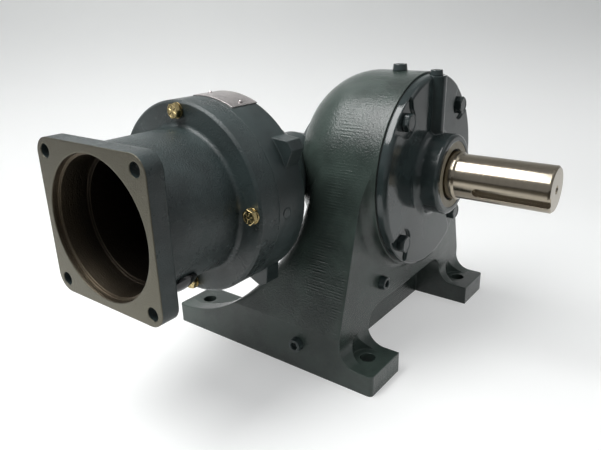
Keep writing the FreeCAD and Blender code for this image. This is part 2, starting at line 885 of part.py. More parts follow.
def placed_bearings(bearing, places, along):
    """Outer rings, inner rings and roller sets of like bearings, at places along an axis."""
    groups = ([], [], [])
    for place in places:
        outer, inner = bearing_rings(bearing)
        for group, solids in zip(groups, ([outer], [inner], roller_set(bearing))):
            for solid in solids:
                group.append(along(solid, place))
    return [Part.makeCompound(group) if len(group) > 1 else group[0] for group in groups]


def bearing_on_output(solid, place):
    """Put a bearing piece on the output axis."""
    return on_output(solid.translated(Vector(place, 0, 0)))


def bearing_on_input(solid, place):
    """Put a bearing piece on the input axis."""
    turned_piece = solid.rotated(Vector(0, 0, 0), Z_AXIS, 90)
    return on_input(turned_piece.translated(Vector(0, place, 0)))


# Planetary stage


def planet_centre_r():
    """Radius of the circle that the planet pins stand on."""
    return gear_module * (sun_teeth + planet_teeth) / 2


def planet_place(shape, index):
    """Move a planet piece from the X axis to its pin."""
    moved = shape.translated(Vector(0, planet_centre_r(), 0))
    return on_output(moved.rotated(Vector(0, 0, 0), X_AXIS, 360.0 / planet_count * index))


def planet_gear(index):
    """Planet gear with a bore for its bush."""
    end = gear_face_x + gear_face
    gear = spur_gear(planet_teeth, gear_face_x, end)
    return planet_place(gear.cut(bar_x(planet_pin_r + bush_wall, gear_face_x, end)), index)


def planet_bush(index):
    """Bronze bush pressed into a planet gear."""
    bush = ring_x(planet_pin_r + bush_wall, planet_pin_r + running_fit, gear_face_x, gear_face_x + gear_face)
    return planet_place(bush, index)


def carrier_span():
    """Places along X of the carrier plates: rear plate start and end, front plate start and end."""
    rear_end = gear_face_x - 2 * play
    front_start = gear_face_x + gear_face + 2 * play
    return rear_end - carrier_plate_t, rear_end, front_start, front_start + front_plate_t


def pin_holes(start, end):
    """Holes for the planet pins through a carrier plate."""
    return around_x(bar_x(planet_pin_r + seat_fit, start, end, planet_centre_r()), planet_count)


def output_shaft():
    """Output shaft with the front plate and posts of the planet carrier."""
    rear_start, rear_end, plate_start, plate_end = carrier_span()
    bearing_end = front_bearing_x + front_bearing[2] + play
    seat_r = front_bearing[0] - seat_fit
    journal_r = seal_journal_d / 2
    shaft_r = shaft_d / 2
    body = turned_x([
        (plate_start, 0), (plate_start, carrier_r), (plate_end, carrier_r), (plate_end, boss_lip_r),
        (front_bearing_x, boss_lip_r), (front_bearing_x, seat_r), (bearing_end, seat_r),
        (bearing_end, journal_r), (shaft_step_x - shaft_chamfer, journal_r), (shaft_step_x, shaft_r),
        (shaft_end_x - shaft_chamfer, shaft_r), (shaft_end_x, shaft_r - shaft_chamfer), (shaft_end_x, 0),
    ])
    half_turn = 180.0 / planet_count
    post = bar_x(post_r, rear_end, plate_start, planet_centre_r())
    screw_hole = bar_x(carrier_screw_r + seat_fit, rear_end, plate_start, planet_centre_r())
    half_slot = key_slot_width / 2
    slot_floor = shaft_r - key_slot_depth
    slot = bar_z(half_slot, slot_floor, shaft_r + play, key_slot_start_x + half_slot)
    slot = slot.fuse(block((key_slot_start_x + half_slot, -half_slot, slot_floor),
                           (shaft_end_x + play, half_slot, shaft_r + play)))
    slot = slot.rotated(Vector(0, 0, 0), X_AXIS, key_slot_angle - 90)
    depth = centre_hole_r * 2
    centre = Part.makeCone(0, centre_hole_r, depth, Vector(shaft_end_x - depth, 0, 0), X_AXIS)
    tools = pin_holes(plate_start, plate_end) + around_x(screw_hole, planet_count, half_turn)
    tools += [slot, centre]
    return on_output(body.fuse(around_x(post, planet_count, half_turn)).cut(tools))


def carrier_plate():
    """Rear plate of the planet carrier with its bearing hub."""
    start, end, front_start, front_end = carrier_span()
    hub_r = carrier_bearing[0] - seat_fit
    bearing_end = carrier_bearing_x + carrier_bearing[2]
    body = turned_x([
        (carrier_bearing_x, carrier_bore_r), (carrier_bearing_x, hub_r), (bearing_end, hub_r),
        (bearing_end, hub_r + carrier_shoulder), (start, hub_r + carrier_shoulder), (start, carrier_r),
        (end, carrier_r), (end, carrier_bore_r),
    ])
    half_turn = 180.0 / planet_count
    hole = bar_x(carrier_screw_r + seat_fit, start, end, planet_centre_r())
    sink = bar_x(carrier_screw_head_r + seat_fit, start, start + carrier_screw_head_t, planet_centre_r())
    tools = pin_holes(start, end)
    tools += around_x(hole, planet_count, half_turn) + around_x(sink, planet_count, half_turn)
    return on_output(body.cut(tools))


def carrier_screws():
    """Three cap screws that clamp the rear plate to the posts."""
    start, end, front_start, front_end = carrier_span()
    seat = start + carrier_screw_head_t
    head = bar_x(carrier_screw_head_r, start + seat_fit, seat, planet_centre_r())
    screw = head.fuse(bar_x(carrier_screw_r, seat, end + carrier_screw_grip, planet_centre_r()))
    return on_output(Part.makeCompound(around_x(screw, planet_count, 180.0 / planet_count)))


def planet_pins():
    """Three pins that carry the planets."""
    start, end, front_start, front_end = carrier_span()
    pin = bar_x(planet_pin_r, start + seat_fit, front_end - seat_fit, planet_centre_r())
    return on_output(Part.makeCompound(around_x(pin, planet_count)))


# Bevel stage


def on_apex(shape):
    """Move a bevel piece from the origin to the point where the two axes meet."""
    return shape.translated(Vector(input_x, 0, axis_height))


def key_block(radius, key, start, end):
    """Key along Z on the +X side of a shaft: width, depth in the shaft and rise above it."""
    width, depth, rise = key
    return block((radius - depth, -width / 2, start), (radius + rise, width / 2, end))


def wheel_axis(shape):
    """Turn a bevel piece from +Z to +X and put it on the apex."""
    return on_apex(shape.rotated(Vector(0, 0, 0), Y_AXIS, 90))


def pinion_axis(shape):
    """Turn a bevel piece from +Z to -Y and put it on the apex."""
    return on_apex(shape.rotated(Vector(0, 0, 0), X_AXIS, 90))


def wheel_reach():
    """Distance from the apex to the first sun bearing, where the wheel's hub ends."""
    return sun_bearing_xs[0] - input_x


def wheel_key_block():
    """Key between bevel wheel and sun shaft, built about +Z."""
    return key_block(sun_bearing[0], wheel_key, wheel_front + 2 * play, wheel_reach() - 2 * play)


def bevel_wheel():
    """Bevel wheel keyed on the sun shaft."""
    rim = bevel_point(wheel_teeth, pinion_teeth, -bevel_module * 2, 1.0)
    front = [(wheel_front, 0), (wheel_front, wheel_front_r)]
    back = [rim, (wheel_rim, rim[1] - bevel_module), (wheel_rim, wheel_hub_r), (wheel_reach(), wheel_hub_r),
            (wheel_reach(), 0)]
    first = math.radians(-90) + math.pi / wheel_teeth
    head = bevel_head(wheel_teeth, pinion_teeth, front, back, first)
    bore = bar_z(sun_bearing[0], 0, wheel_reach())
    return wheel_axis(head.cut([bore, wheel_key_block()]))


def bevel_wheel_key():
    """Key of the bevel wheel."""
    return wheel_axis(wheel_key_block())


def bevel_wheel_nut():
    """Lock nut in front of the bevel wheel."""
    nut = hexagon(nut_flats, nut_t).cut(bar_z(wheel_thread_r, 0, nut_t))
    return wheel_axis(nut.translated(Vector(0, 0, wheel_front - nut_t)))


def sun_shaft():
    """Sun gear in one piece with the shaft that carries the bevel wheel."""
    start = sun_bearing_xs[1] + sun_bearing[2]
    seat_r = sun_bearing[0] - seat_fit
    wheel_start = input_x + wheel_front
    body = bar_x(wheel_thread_r - seat_fit, wheel_start - nut_t - play, wheel_start)
    body = body.fuse([
        bar_x(seat_r, wheel_start, start),
        bar_x(seat_r + bush_wall, start, start + 2 * play),
        bar_x(sun_shaft_r, start + 2 * play, gear_face_x),
        spur_gear(sun_teeth, gear_face_x - play, gear_face_x + gear_face + play),
    ])
    return on_output(body).cut(bevel_wheel_key())


def sun_spacer():
    """Sleeve between the two sun shaft bearings."""
    start = sun_bearing_xs[0] + sun_bearing[2]
    return on_output(ring_x(sun_bearing[0] + bush_wall, sun_bearing[0], start, sun_bearing_xs[1]))


def input_key_block():
    """Key between input shaft and coupling hub, built about +Z."""
    end = -coupling_front_y - coupling_jaw - 3 * play
    return key_block(input_end_r, input_key, end - coupling_key_length, end)


def pinion_shaft():
    """Bevel pinion in one piece with the input shaft."""
    shoulder = -(pinion_bearing_ys[0] + pinion_bearing[2])
    seat_end = -pinion_bearing_ys[1]
    seal_end = seat_end + input_seal_t + 4 * play
    shaft_end = -coupling_front_y - coupling_jaw
    front = [(pinion_front, 0), (pinion_front, seal_journal_r - play)]
    back = [(shoulder, pinion_shoulder_r), (shoulder, 0)]
    head = bevel_head(pinion_teeth, wheel_teeth, front, back, 0.0)
    shaft = head.fuse([
        bar_z(pinion_bearing[0] - seat_fit, shoulder, seat_end),
        bar_z(seal_journal_r, seat_end, seal_end),
        bar_z(input_end_r - seat_fit, seal_end, shaft_end),
    ])
    return pinion_axis(shaft.cut(input_key_block()))


def pinion_spacer():
    """Long sleeve between the two pinion bearings."""
    start = pinion_bearing_ys[1] + pinion_bearing[2]
    return on_input(ring_y(pinion_bearing[0] + bush_wall, pinion_bearing[0], start, pinion_bearing_ys[0]))


def bearing_sleeve():
    """Sleeve in the neck that keeps the outer rings of the pinion bearings apart."""
    start = pinion_bearing_ys[1] + pinion_bearing[2]
    return on_input(ring_y(pinion_bearing[1], pinion_bearing[1] - bush_wall, start, pinion_bearing_ys[0]))


def pinion_retaining_ring():
    """Ring that holds the outer pinion bearing on the shaft."""
    end = pinion_bearing_ys[1]
    return on_input(ring_y(pinion_bearing[0] + bush_wall, seal_journal_r, end - 2 * play, end))


def input_seal():
    """Shaft seal in front of the outer pinion bearing."""
    end = pinion_bearing_ys[1] - 3 * play
    return on_input(ring_y(pinion_bearing[1], seal_journal_r + running_fit, end - input_seal_t, end))


def coupling_hub():
    """Jaw coupling half keyed on the input shaft."""
    back = coupling_front_y + coupling_length
    shoulder = coupling_front_y + coupling_jaw
    body = bar_y(coupling_r, shoulder, back).cut(bar_y(input_end_r, shoulder, back))
    jaw = sector_y(jaw_inner_r, coupling_r, jaw_half_angle, coupling_front_y, shoulder)
    return on_input(body.fuse(around_y(jaw, 3))).cut(pinion_axis(input_key_block()))


def coupling_spider():
    """Rubber spider whose six legs stand beside the three jaws."""
    start = coupling_front_y + play
    end = coupling_front_y + coupling_jaw
    leg = sector_y(jaw_inner_r - 4 * play, coupling_r - play, spider_leg_angle / 2, start, end)
    offset = jaw_half_angle + spider_leg_angle / 2 + play
    legs = around_y(leg, 3, offset) + around_y(leg, 3, -offset)
    hub = ring_y(jaw_inner_r - play, jaw_inner_r / 2, start, end)
    return on_input(hub.fuse(legs))


def coupling_key():
    """Key of the coupling hub."""
    return pinion_axis(input_key_block())


# Bevel case, input ring and motor adaptor


def case_front_x():
    """Place of the joint between bevel case and bearing carrier."""
    return back_seat_x - carrier_flange_t


def case_drum():
    """Outer and inner turned forms of the drum about the output axis."""
    front = case_front_x()
    flange = front - case_flange_t
    inner_r = case_r - case_wall
    outer = turned_x([
        (front, 0), (front, case_flange_r), (flange, case_flange_r), (flange, case_r), (case_taper_x, case_r),
        (case_back_x, case_end_r), (case_back_x, 0),
    ])
    inner = turned_x([
        (front, 0), (front, inner_r), (case_taper_x + case_wall, inner_r),
        (case_back_x + 2 * case_wall, end_cap_bore_r), (case_back_x, end_cap_bore_r), (case_back_x, 0),
    ])
    return on_output(outer), on_output(inner)


def input_ring():
    """Outer and inner turned forms of the neck and the input ring about the input axis."""
    seal_front = pinion_bearing_ys[1] - input_seal_t - 3 * play
    bearing_r = pinion_bearing[1] + seat_fit
    shoulder_y = pinion_bearing_ys[0] + pinion_bearing[2]
    neck_start = 2 * play - pinion_front
    neck_end = neck_start + case_wall
    outer = turned_y([
        (neck_end, 0), (neck_end, neck_end_r), (neck_taper_y, neck_r), (neck_flare_y, neck_r),
        (ring_back_y, neck_flare_r),
        (ring_back_y, adaptor_disc_r - ring_edge), (ring_back_y - ring_edge, adaptor_disc_r),
        (disc_back_y, adaptor_disc_r), (disc_back_y, 0),
    ])
    inner = turned_y([
        (neck_start, 0), (neck_start, bearing_r - bush_wall), (shoulder_y, bearing_r - bush_wall),
        (shoulder_y, bearing_r), (seal_front, bearing_r), (seal_front, ring_hub_r),
        (ring_floor_y, ring_hub_r), (ring_back_y, adaptor_disc_r - ring_wall),
        (disc_back_y, adaptor_disc_r - ring_wall), (disc_back_y, 0),
    ])
    return on_input(outer), on_input(inner)


def ring_lug():
    """Tapered lug on the input ring, centred on +X."""
    base = math.radians(lug_base_half)
    tip = math.radians(lug_tip_half)
    base_half = adaptor_disc_r * math.sin(base)
    half = [
        side_view(adaptor_disc_r - ring_wall / 2, base_half),
        side_view(adaptor_disc_r * math.cos(base), base_half),
        side_view(lug_tip_r * math.cos(tip), lug_tip_r * math.sin(tip)),
    ]
    points = half + [Vector(p.x, 0, -p.z) for p in reversed(half)]
    return prism(points, Vector(0, lug_front_y, 0), Vector(0, lug_back_y - lug_front_y, 0))


def at_angle(shape, angle):
    """Turn a shape built towards +X to an angle on the input ring."""
    return on_input(shape.rotated(Vector(0, 0, 0), Y_AXIS, -angle))


def bevel_case():
    """Right-angle case: drum for the bevel wheel, neck for the pinion and the input ring with its lugs."""
    drum, drum_space = case_drum()
    ring, ring_space = input_ring()
    lugs = [at_angle(ring_lug(), lug_first_angle - lug_spacing * i) for i in range(lug_count)]
    pip = bar_x(ring_pip_r, adaptor_disc_r - 2 * play, adaptor_disc_r + play / 2, ring_pip_y)
    body = drum.fuse([ring, at_angle(pip, ring_pip_angle)] + lugs)
    flange = case_front_x() - case_flange_t
    bolt_hole = bar_x(case_bolt_d / 2 + seat_fit, flange, case_front_x(), case_bolt_circle_r)
    adaptor_hole = bar_y(adaptor_bolt_d / 2 + seat_fit, disc_back_y, disc_back_y + adaptor_bolt_grip,
                         adaptor_bolt_circle_r)
    cap_hole = bar_x(end_cap_screw_r + seat_fit, case_back_x, case_back_x + case_wall, end_cap_screw_circle_r)
    tools = [drum_space, ring_space, on_output(round_body(play))]
    tools += [on_output(h) for h in around_x(bolt_hole, case_bolt_count, case_bolt_turn)]
    tools += [on_output(h) for h in around_x(cap_hole, bolts_per_face, bolt_turn)]
    tools += [on_input(h) for h in around_y(adaptor_hole, bolts_per_face)]
    return body.cut(tools).removeSplitter()


def bearing_carrier():
    """Flanged carrier of the sun shaft bearings, clamped between bevel case and casing."""
    front = case_front_x()
    bore_r = sun_bearing[1] + seat_fit
    first, second = sun_bearing_xs
    lip_start = first + sun_bearing[2]
    end = second + sun_bearing[2]
    body = turned_x([
        (first, bore_r), (first, case_r - case_wall - seat_fit), (front, case_r - case_wall - seat_fit),
        (front, case_flange_r), (back_seat_x, case_flange_r), (back_seat_x, spigot_r), (end, spigot_r),
        (end, bore_r), (second, bore_r), (second, bore_r - bush_wall), (lip_start, bore_r - bush_wall),
        (lip_start, bore_r),
    ])
    hole = bar_x(case_bolt_d / 2 + seat_fit, front, back_seat_x, case_bolt_circle_r)
    return on_output(body.cut(around_x(hole, case_bolt_count, case_bolt_turn)))


def case_bolts():
    """Six bolts through the case flange and the bearing carrier into the casing."""
    seat = case_front_x() - case_flange_t
    length = back_seat_x - seat + case_bolt_grip - play
    bolt = hex_bolt(case_bolt_head, case_bolt_head_t, case_bolt_d, length)
    placed = pointing(bolt, Vector(-1, 0, 0), Vector(seat, case_bolt_circle_r, 0))
    return on_output(Part.makeCompound(around_x(placed, case_bolt_count, case_bolt_turn)))


def end_cap():
    """Cap over the assembly hole at the back of the bevel case."""
    cap = bar_x(end_cap_r, case_back_x - end_cap_t, case_back_x)
    spigot = bar_x(end_cap_bore_r - seat_fit, case_back_x, case_back_x + end_cap_t)
    hole = bar_x(end_cap_screw_r + seat_fit, case_back_x - end_cap_t, case_back_x, end_cap_screw_circle_r)
    return on_output(cap.fuse(spigot).cut(around_x(hole, bolts_per_face, bolt_turn)))


def end_cap_screws():
    """Four screws of the end cap."""
    seat = case_back_x - end_cap_t
    head = bar_x(end_cap_screw_head_r, seat - end_cap_screw_r, seat, end_cap_screw_circle_r)
    screw = head.fuse(bar_x(end_cap_screw_r, seat, case_back_x + case_wall - play, end_cap_screw_circle_r))
    return on_output(Part.makeCompound(around_x(screw, bolts_per_face, bolt_turn)))


def adaptor_body():
    """Turned form of the adaptor between the square flange and the ring."""
    back = flange_face_y + flange_t
    return turned_y([
        (back - play, 0), (back - play, adaptor_neck_r),
        corner_arc((disc_front_y - adaptor_fillet, adaptor_neck_r + adaptor_fillet), adaptor_fillet, 270, 360,
                   along_y),
        (disc_front_y, adaptor_disc_r - disc_edge), (disc_front_y + disc_edge, adaptor_disc_r),
        (disc_back_y, adaptor_disc_r), (disc_back_y, 0),
    ])


def square_flange():
    """Square motor flange with rounded corners."""
    reach = flange_side / 2 - flange_corner_r
    corners = []
    for index, (sx, sz) in enumerate(((1, 1), (-1, 1), (-1, -1), (1, -1))):
        start = 90 * index
        corners.append(corner_arc((sx * reach, sz * reach), flange_corner_r, start, start + 90, side_view))
    return prism(corners, Vector(0, flange_face_y, 0), Vector(0, flange_t, 0))


def adaptor_space():
    """Pilot register, bore and inner space of the adaptor."""
    pilot_end = flange_face_y + pilot_depth
    bore_end = flange_face_y + 2 * flange_t
    return turned_y([
        (flange_face_y, 0), (flange_face_y, pilot_d / 2), (pilot_end, pilot_d / 2),
        (pilot_end, adaptor_bore_r), (bore_end, adaptor_bore_r), (bore_end, adaptor_inner_r),
        (disc_back_y, adaptor_inner_r), (disc_back_y, 0),
    ])


def access_frame(shape):
    """Move a shape built along +Z to the access hole in the adaptor's side, pointing out."""
    turned_out = shape.rotated(Vector(0, 0, 0), Y_AXIS, 90 - access_angle)
    return on_input(turned_out.translated(Vector(0, access_y, 0)))


def motor_adaptor():
    """Adaptor with the square motor flange at one end and the round disc at the other."""
    hole = bar_y(flange_hole_d / 2, flange_face_y, flange_face_y + flange_t, flange_bolt_circle / 2)
    bolt_hole = bar_y(adaptor_bolt_d / 2 + seat_fit, disc_front_y, disc_back_y, adaptor_bolt_circle_r)
    tools = [adaptor_space()] + around_y(hole, bolts_per_face, bolt_turn)
    tools += around_y(bolt_hole, bolts_per_face)
    body = on_input(adaptor_body().fuse(square_flange()).cut(tools))
    return body.cut(access_frame(bar_z(access_hole_r + seat_fit, 0, adaptor_disc_r))).removeSplitter()


def access_plug():
    """Black domed cap in the access hole."""
    head_r = access_hole_r + 2.5 * play
    dome_radius = (head_r ** 2 + cap_rise ** 2) / (2 * cap_rise)
    dome = Part.makeSphere(dome_radius, Vector(0, 0, adaptor_neck_r + cap_rim + cap_rise - dome_radius))
    head = dome.common(bar_z(head_r, adaptor_neck_r, adaptor_disc_r))
    stem = bar_z(access_hole_r, adaptor_inner_r + play, adaptor_neck_r)
    return access_frame(head.fuse(stem))


def adaptor_bolts():
    """Four bolts that hold the adaptor on the ring."""
    seat = disc_front_y - adaptor_washer_t
    length = disc_back_y - seat + adaptor_bolt_grip - play
    bolt = hex_bolt(adaptor_bolt_head, adaptor_bolt_head_t, adaptor_bolt_d, length)
    placed = pointing(bolt, Vector(0, -1, 0), Vector(adaptor_bolt_circle_r, seat, 0))
    return Part.makeCompound([on_input(b) for b in around_y(placed, bolts_per_face)])


def adaptor_washers():
    """Lock washers under the adaptor bolts."""
    hole_r = adaptor_bolt_d / 2 + seat_fit
    washer = ring_y(adaptor_washer_r, hole_r, disc_front_y - adaptor_washer_t, disc_front_y)
    placed = washer.translated(Vector(adaptor_bolt_circle_r, 0, 0))
    return Part.makeCompound([on_input(w) for w in around_y(placed, bolts_per_face)])


def nameplate():
    """Bare curved plate on the input ring."""
    half = plate_width / 2
    plate = sector_y(adaptor_disc_r, adaptor_disc_r + plate_t, plate_span / 2, plate_y - half, plate_y + half)
    return at_angle(plate, plate_angle)


def nameplate_rivets():
    """Two round-headed rivets of the plate."""
    outside = adaptor_disc_r + plate_t
    reach = plate_width / 2
    above = block((outside, plate_y - reach, -reach), (2 * outside, plate_y + reach, reach))
    dome = Part.makeSphere(rivet_r, Vector(outside, plate_y, 0)).common(above)
    turn = plate_span / 2 - rivet_inset
    return Part.makeCompound([at_angle(dome, plate_angle + side * turn) for side in (-1, 1)])


def casing_plug(direction, place):
    """Socket plug of the casing at a place, pointing out."""
    return pointing(socket_plug(plug_r, plug_height, plug_shank_r, plug_depth - play), direction, place)


def rib_plug():
    """Small plug on top of the grease rib."""
    place = Vector(seat_x + gasket_t + cover_t - rib_sink, 0, axis_height + rib_top)
    plug = socket_plug(plug_r - play, plug_height - play, rib_plug_shank_r, plug_depth)
    return pointing(plug, Z_AXIS, place)


def build():
    """All pieces by name."""
    pieces = {
        "main_casing": main_casing(),
        "output_cover": output_cover(),
        "cover_gasket": cover_gasket(),
        "cover_bolts": cover_bolts(),
        "output_seal": output_seal(),
        "output_seal_lip": output_seal_lip(),
        "ring_gear": ring_gear(),
        "ring_gear_pins": ring_gear_pins(),
        "bevel_case": bevel_case(),
        "bearing_carrier": bearing_carrier(),
        "case_bolts": case_bolts(),
        "end_cap": end_cap(),
        "end_cap_screws": end_cap_screws(),
        "input_seal": input_seal(),
        "bearing_sleeve": bearing_sleeve(),
        "motor_adaptor": motor_adaptor(),
        "adaptor_bolts": adaptor_bolts(),
        "adaptor_washers": adaptor_washers(),
        "access_plug": access_plug(),
        "nameplate": nameplate(),
        "nameplate_rivets": nameplate_rivets(),
        "filler_plug": casing_plug(Z_AXIS, Vector(filler_x, 0, axis_height + dome_r)),
        "level_plug": casing_plug(X_AXIS, Vector(leg_front_x, level_y, level_z)),
        "drain_plug": casing_plug(Vector(0, -1, 0), Vector(drain_x, -base_width / 2, drain_z)),
        "rib_plug": rib_plug(),
        "output_shaft": output_shaft(),
        "carrier_plate": carrier_plate(),
        "carrier_screws": carrier_screws(),
        "planet_pins": planet_pins(),
        "sun_shaft": sun_shaft(),
        "sun_spacer": sun_spacer(),
        "bevel_wheel": bevel_wheel(),
        "bevel_wheel_key": bevel_wheel_key(),
        "bevel_wheel_nut": bevel_wheel_nut(),
        "pinion_shaft": pinion_shaft(),
        "pinion_spacer": pinion_spacer(),
        "pinion_retaining_ring": pinion_retaining_ring(),
        "coupling_hub": coupling_hub(),
        "coupling_key": coupling_key(),
        "coupling_spider": coupling_spider(),
    }
    for index in range(planet_count):
        pieces["planet_gear_%d" % (index + 1)] = planet_gear(index)
        pieces["planet_bush_%d" % (index + 1)] = planet_bush(index)
    bearings = (
        ("front_bearing", front_bearing, (front_bearing_x,), bearing_on_output),
        ("carrier_bearing", carrier_bearing, (carrier_bearing_x,), bearing_on_output),
        ("sun_bearing", sun_bearing, sun_bearing_xs, bearing_on_output),
        ("pinion_bearing", pinion_bearing, pinion_bearing_ys, bearing_on_input),
    )
    for name, bearing, places, along in bearings:
        outer, inner, rollers = placed_bearings(bearing, places, along)
        pieces[name + "_outer_rings"] = outer
        pieces[name + "_inner_rings"] = inner
        pieces[name + "_rollers"] = rollers
    return pieces


def main():
    """Write each piece as a file of its own."""
    os.makedirs("parts", exist_ok=True)
    for name, shape in build().items():
        shape.exportStep("parts/%s.step" % name)


main()
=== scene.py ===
"""Looks of the right-angle gear reducer: painted castings, ground steel, fasteners and a pale studio."""
import json
import math

import bmesh
import bpy
from mathutils import Matrix, Vector


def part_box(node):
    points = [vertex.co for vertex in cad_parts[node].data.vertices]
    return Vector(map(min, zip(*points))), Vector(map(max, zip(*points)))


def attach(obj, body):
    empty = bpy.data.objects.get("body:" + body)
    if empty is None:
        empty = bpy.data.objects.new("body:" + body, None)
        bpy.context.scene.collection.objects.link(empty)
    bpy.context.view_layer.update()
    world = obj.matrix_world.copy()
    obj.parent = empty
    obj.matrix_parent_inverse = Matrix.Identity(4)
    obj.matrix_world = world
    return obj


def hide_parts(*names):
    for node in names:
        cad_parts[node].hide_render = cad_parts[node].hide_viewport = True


bl_info = {
    "name": "Gear Reducer Looks",
    "version": (1, 0, 0),
    "blender": (4, 5, 0),
    "location": "View3D > Sidebar > Reducer",
    "description": "Finishes the pieces of a foot-mounted right-angle gear reducer",
    "category": "Object",
}

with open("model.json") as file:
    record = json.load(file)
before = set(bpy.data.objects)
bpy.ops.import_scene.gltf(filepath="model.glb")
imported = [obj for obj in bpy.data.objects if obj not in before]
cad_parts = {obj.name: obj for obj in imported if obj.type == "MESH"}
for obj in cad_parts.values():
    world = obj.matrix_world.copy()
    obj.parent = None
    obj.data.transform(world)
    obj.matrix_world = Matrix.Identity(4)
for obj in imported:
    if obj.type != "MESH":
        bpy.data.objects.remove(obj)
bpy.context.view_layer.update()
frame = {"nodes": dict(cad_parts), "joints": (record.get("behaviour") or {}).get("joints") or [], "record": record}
SLOT_OF = {row["node"]: row["material_slot"] for row in frame["record"]["subparts"]}
JOINTS = {joint["name"]: joint for joint in frame["joints"]}
OUTPUT_AXIS = Vector(JOINTS["output_spin"]["pos_m"])
INPUT_AXIS = Vector(JOINTS["input_spin"]["pos_m"])
HOUSING = "housing"
# Each lamp's name, the setting that holds its power, its width and depth, its place and what it looks at
LAMPS = (
    ("Key lamp", "key_power", 0.52, 0.90, (-0.27, -0.52, 1.05), (-0.12, -0.40, 0.0)),
    ("Top lamp", "top_power", 0.80, 0.80, (0.80, 0.25, 1.25), (0.25, 0.05, 0.0)),
    ("Back lamp", "back_power", 0.80, 0.80, (-0.85, 0.75, 0.90), (0.0, 0.0, 0.12)),
)


class PaintLook(bpy.types.PropertyGroup):
    """Colours and surface of the painted castings."""

    casing_colour: bpy.props.FloatVectorProperty(
        name="Casing colour", description="Paint on the rough main casing", subtype="COLOR", size=4,
        default=(0.039, 0.054, 0.047, 1), min=0, max=1)
    smooth_colour: bpy.props.FloatVectorProperty(
        name="Smooth colour", description="Paint on the cover, the adaptor and the bevel case",
        subtype="COLOR", size=4, default=(0.031, 0.043, 0.043, 1), min=0, max=1)
    roughness: bpy.props.FloatProperty(
        name="Roughness", description="Roughness of the paint on the bevel case", subtype="FACTOR",
        default=0.36, min=0, max=1)
    grain_size: bpy.props.FloatProperty(
        name="Grain size", description="Size of the sand grain under the paint", unit="LENGTH",
        default=0.0022, min=0.0001)
    line_spacing: bpy.props.FloatProperty(
        name="Line spacing", description="Distance between the fine level lines on the casting's sides",
        unit="LENGTH", default=0.0025, min=0.0001)
    edge_round: bpy.props.FloatProperty(
        name="Edge rounding", description="Radius of the rounding on cast edges", unit="LENGTH",
        default=0.0016, min=0)


class MetalLook(bpy.types.PropertyGroup):
    """Colours of bare metal, rubber and plastic."""

    shaft_colour: bpy.props.FloatVectorProperty(
        name="Shaft colour", description="Ground steel of the output shaft", subtype="COLOR", size=4,
        default=(0.38, 0.335, 0.264, 1), min=0, max=1)
    bare_colour: bpy.props.FloatVectorProperty(
        name="Bare iron", description="Machined face of the motor flange", subtype="COLOR", size=4,
        default=(0.140, 0.131, 0.100, 1), min=0, max=1)
    bore_colour: bpy.props.FloatVectorProperty(
        name="Oiled bore", description="Turned and oiled bore behind the motor flange", subtype="COLOR",
        size=4, default=(0.14, 0.115, 0.083, 1), min=0, max=1)
    # Painted shade: a darker colour for the bore further in from the flange face, standing in for the shade inside
    # it
    bore_shade_colour: bpy.props.FloatVectorProperty(
        name="Painted bore shade", description="Painted shade further into the bore", subtype="COLOR", size=4,
        default=(0.055, 0.046, 0.035, 1), min=0, max=1)
    gear_colour: bpy.props.FloatVectorProperty(
        name="Gear steel", description="Machined and oiled gears and shafts", subtype="COLOR", size=4,
        default=(0.40, 0.39, 0.37, 1), min=0, max=1)
    zinc_colour: bpy.props.FloatVectorProperty(
        name="Yellow zinc", description="Plating on the adaptor bolts", subtype="COLOR", size=4,
        default=(0.55, 0.44, 0.22, 1), min=0, max=1)
    bronze_colour: bpy.props.FloatVectorProperty(
        name="Bronze", description="Planet bushes", subtype="COLOR", size=4, default=(0.52, 0.30, 0.12, 1),
        min=0, max=1)
    seal_colour: bpy.props.FloatVectorProperty(
        name="Seal case", description="Coated case of the output seal", subtype="COLOR", size=4,
        default=(0.33, 0.29, 0.21, 1), min=0, max=1)
    rubber_colour: bpy.props.FloatVectorProperty(
        name="Rubber", description="Seal lips, gasket and coupling spider", subtype="COLOR", size=4,
        default=(0.012, 0.012, 0.012, 1), min=0, max=1)
    plastic_colour: bpy.props.FloatVectorProperty(
        name="Plastic", description="Cap in the adaptor's access hole", subtype="COLOR", size=4,
        default=(0.008, 0.008, 0.009, 1), min=0, max=1)
    plate_colour: bpy.props.FloatVectorProperty(
        name="Plate", description="Bare plate on the input ring", subtype="COLOR", size=4,
        default=(0.62, 0.58, 0.57, 1), min=0, max=1)


class CoverBoltSizes(bpy.types.PropertyGroup):
    """Sizes of the hexagon bolts of the output cover."""

    across_flats: bpy.props.FloatProperty(
        name="Across flats", description="Width of a bolt head", unit="LENGTH", default=0.0143, min=0.001)
    head_height: bpy.props.FloatProperty(
        name="Head height", description="Height of a bolt head", unit="LENGTH", default=0.0064, min=0.001)
    shank: bpy.props.FloatProperty(
        name="Shank diameter", description="Diameter of a bolt's shank", unit="LENGTH", default=0.0095,
        min=0.001)
    circle_radius: bpy.props.FloatProperty(
        name="Circle radius", description="Radius of the circle that the bolts stand on", unit="LENGTH",
        default=0.0782, min=0.001)


class AdaptorBoltSizes(bpy.types.PropertyGroup):
    """Sizes of the plated bolts of the adaptor and their lock washers."""

    across_flats: bpy.props.FloatProperty(
        name="Across flats", description="Width of a bolt head", unit="LENGTH", default=0.0116, min=0.001)
    head_height: bpy.props.FloatProperty(
        name="Head height", description="Height of a bolt head", unit="LENGTH", default=0.0044, min=0.001)
    shank: bpy.props.FloatProperty(
        name="Shank diameter", description="Diameter of a bolt's shank", unit="LENGTH", default=0.0079,
        min=0.001)
    washer_height: bpy.props.FloatProperty(
        name="Washer height", description="Height of a lock washer", unit="LENGTH", default=0.0016,
        min=0.0005)
    washer_width: bpy.props.FloatProperty(
        name="Washer diameter", description="Outer diameter of a lock washer", unit="LENGTH", default=0.0130,
        min=0.001)


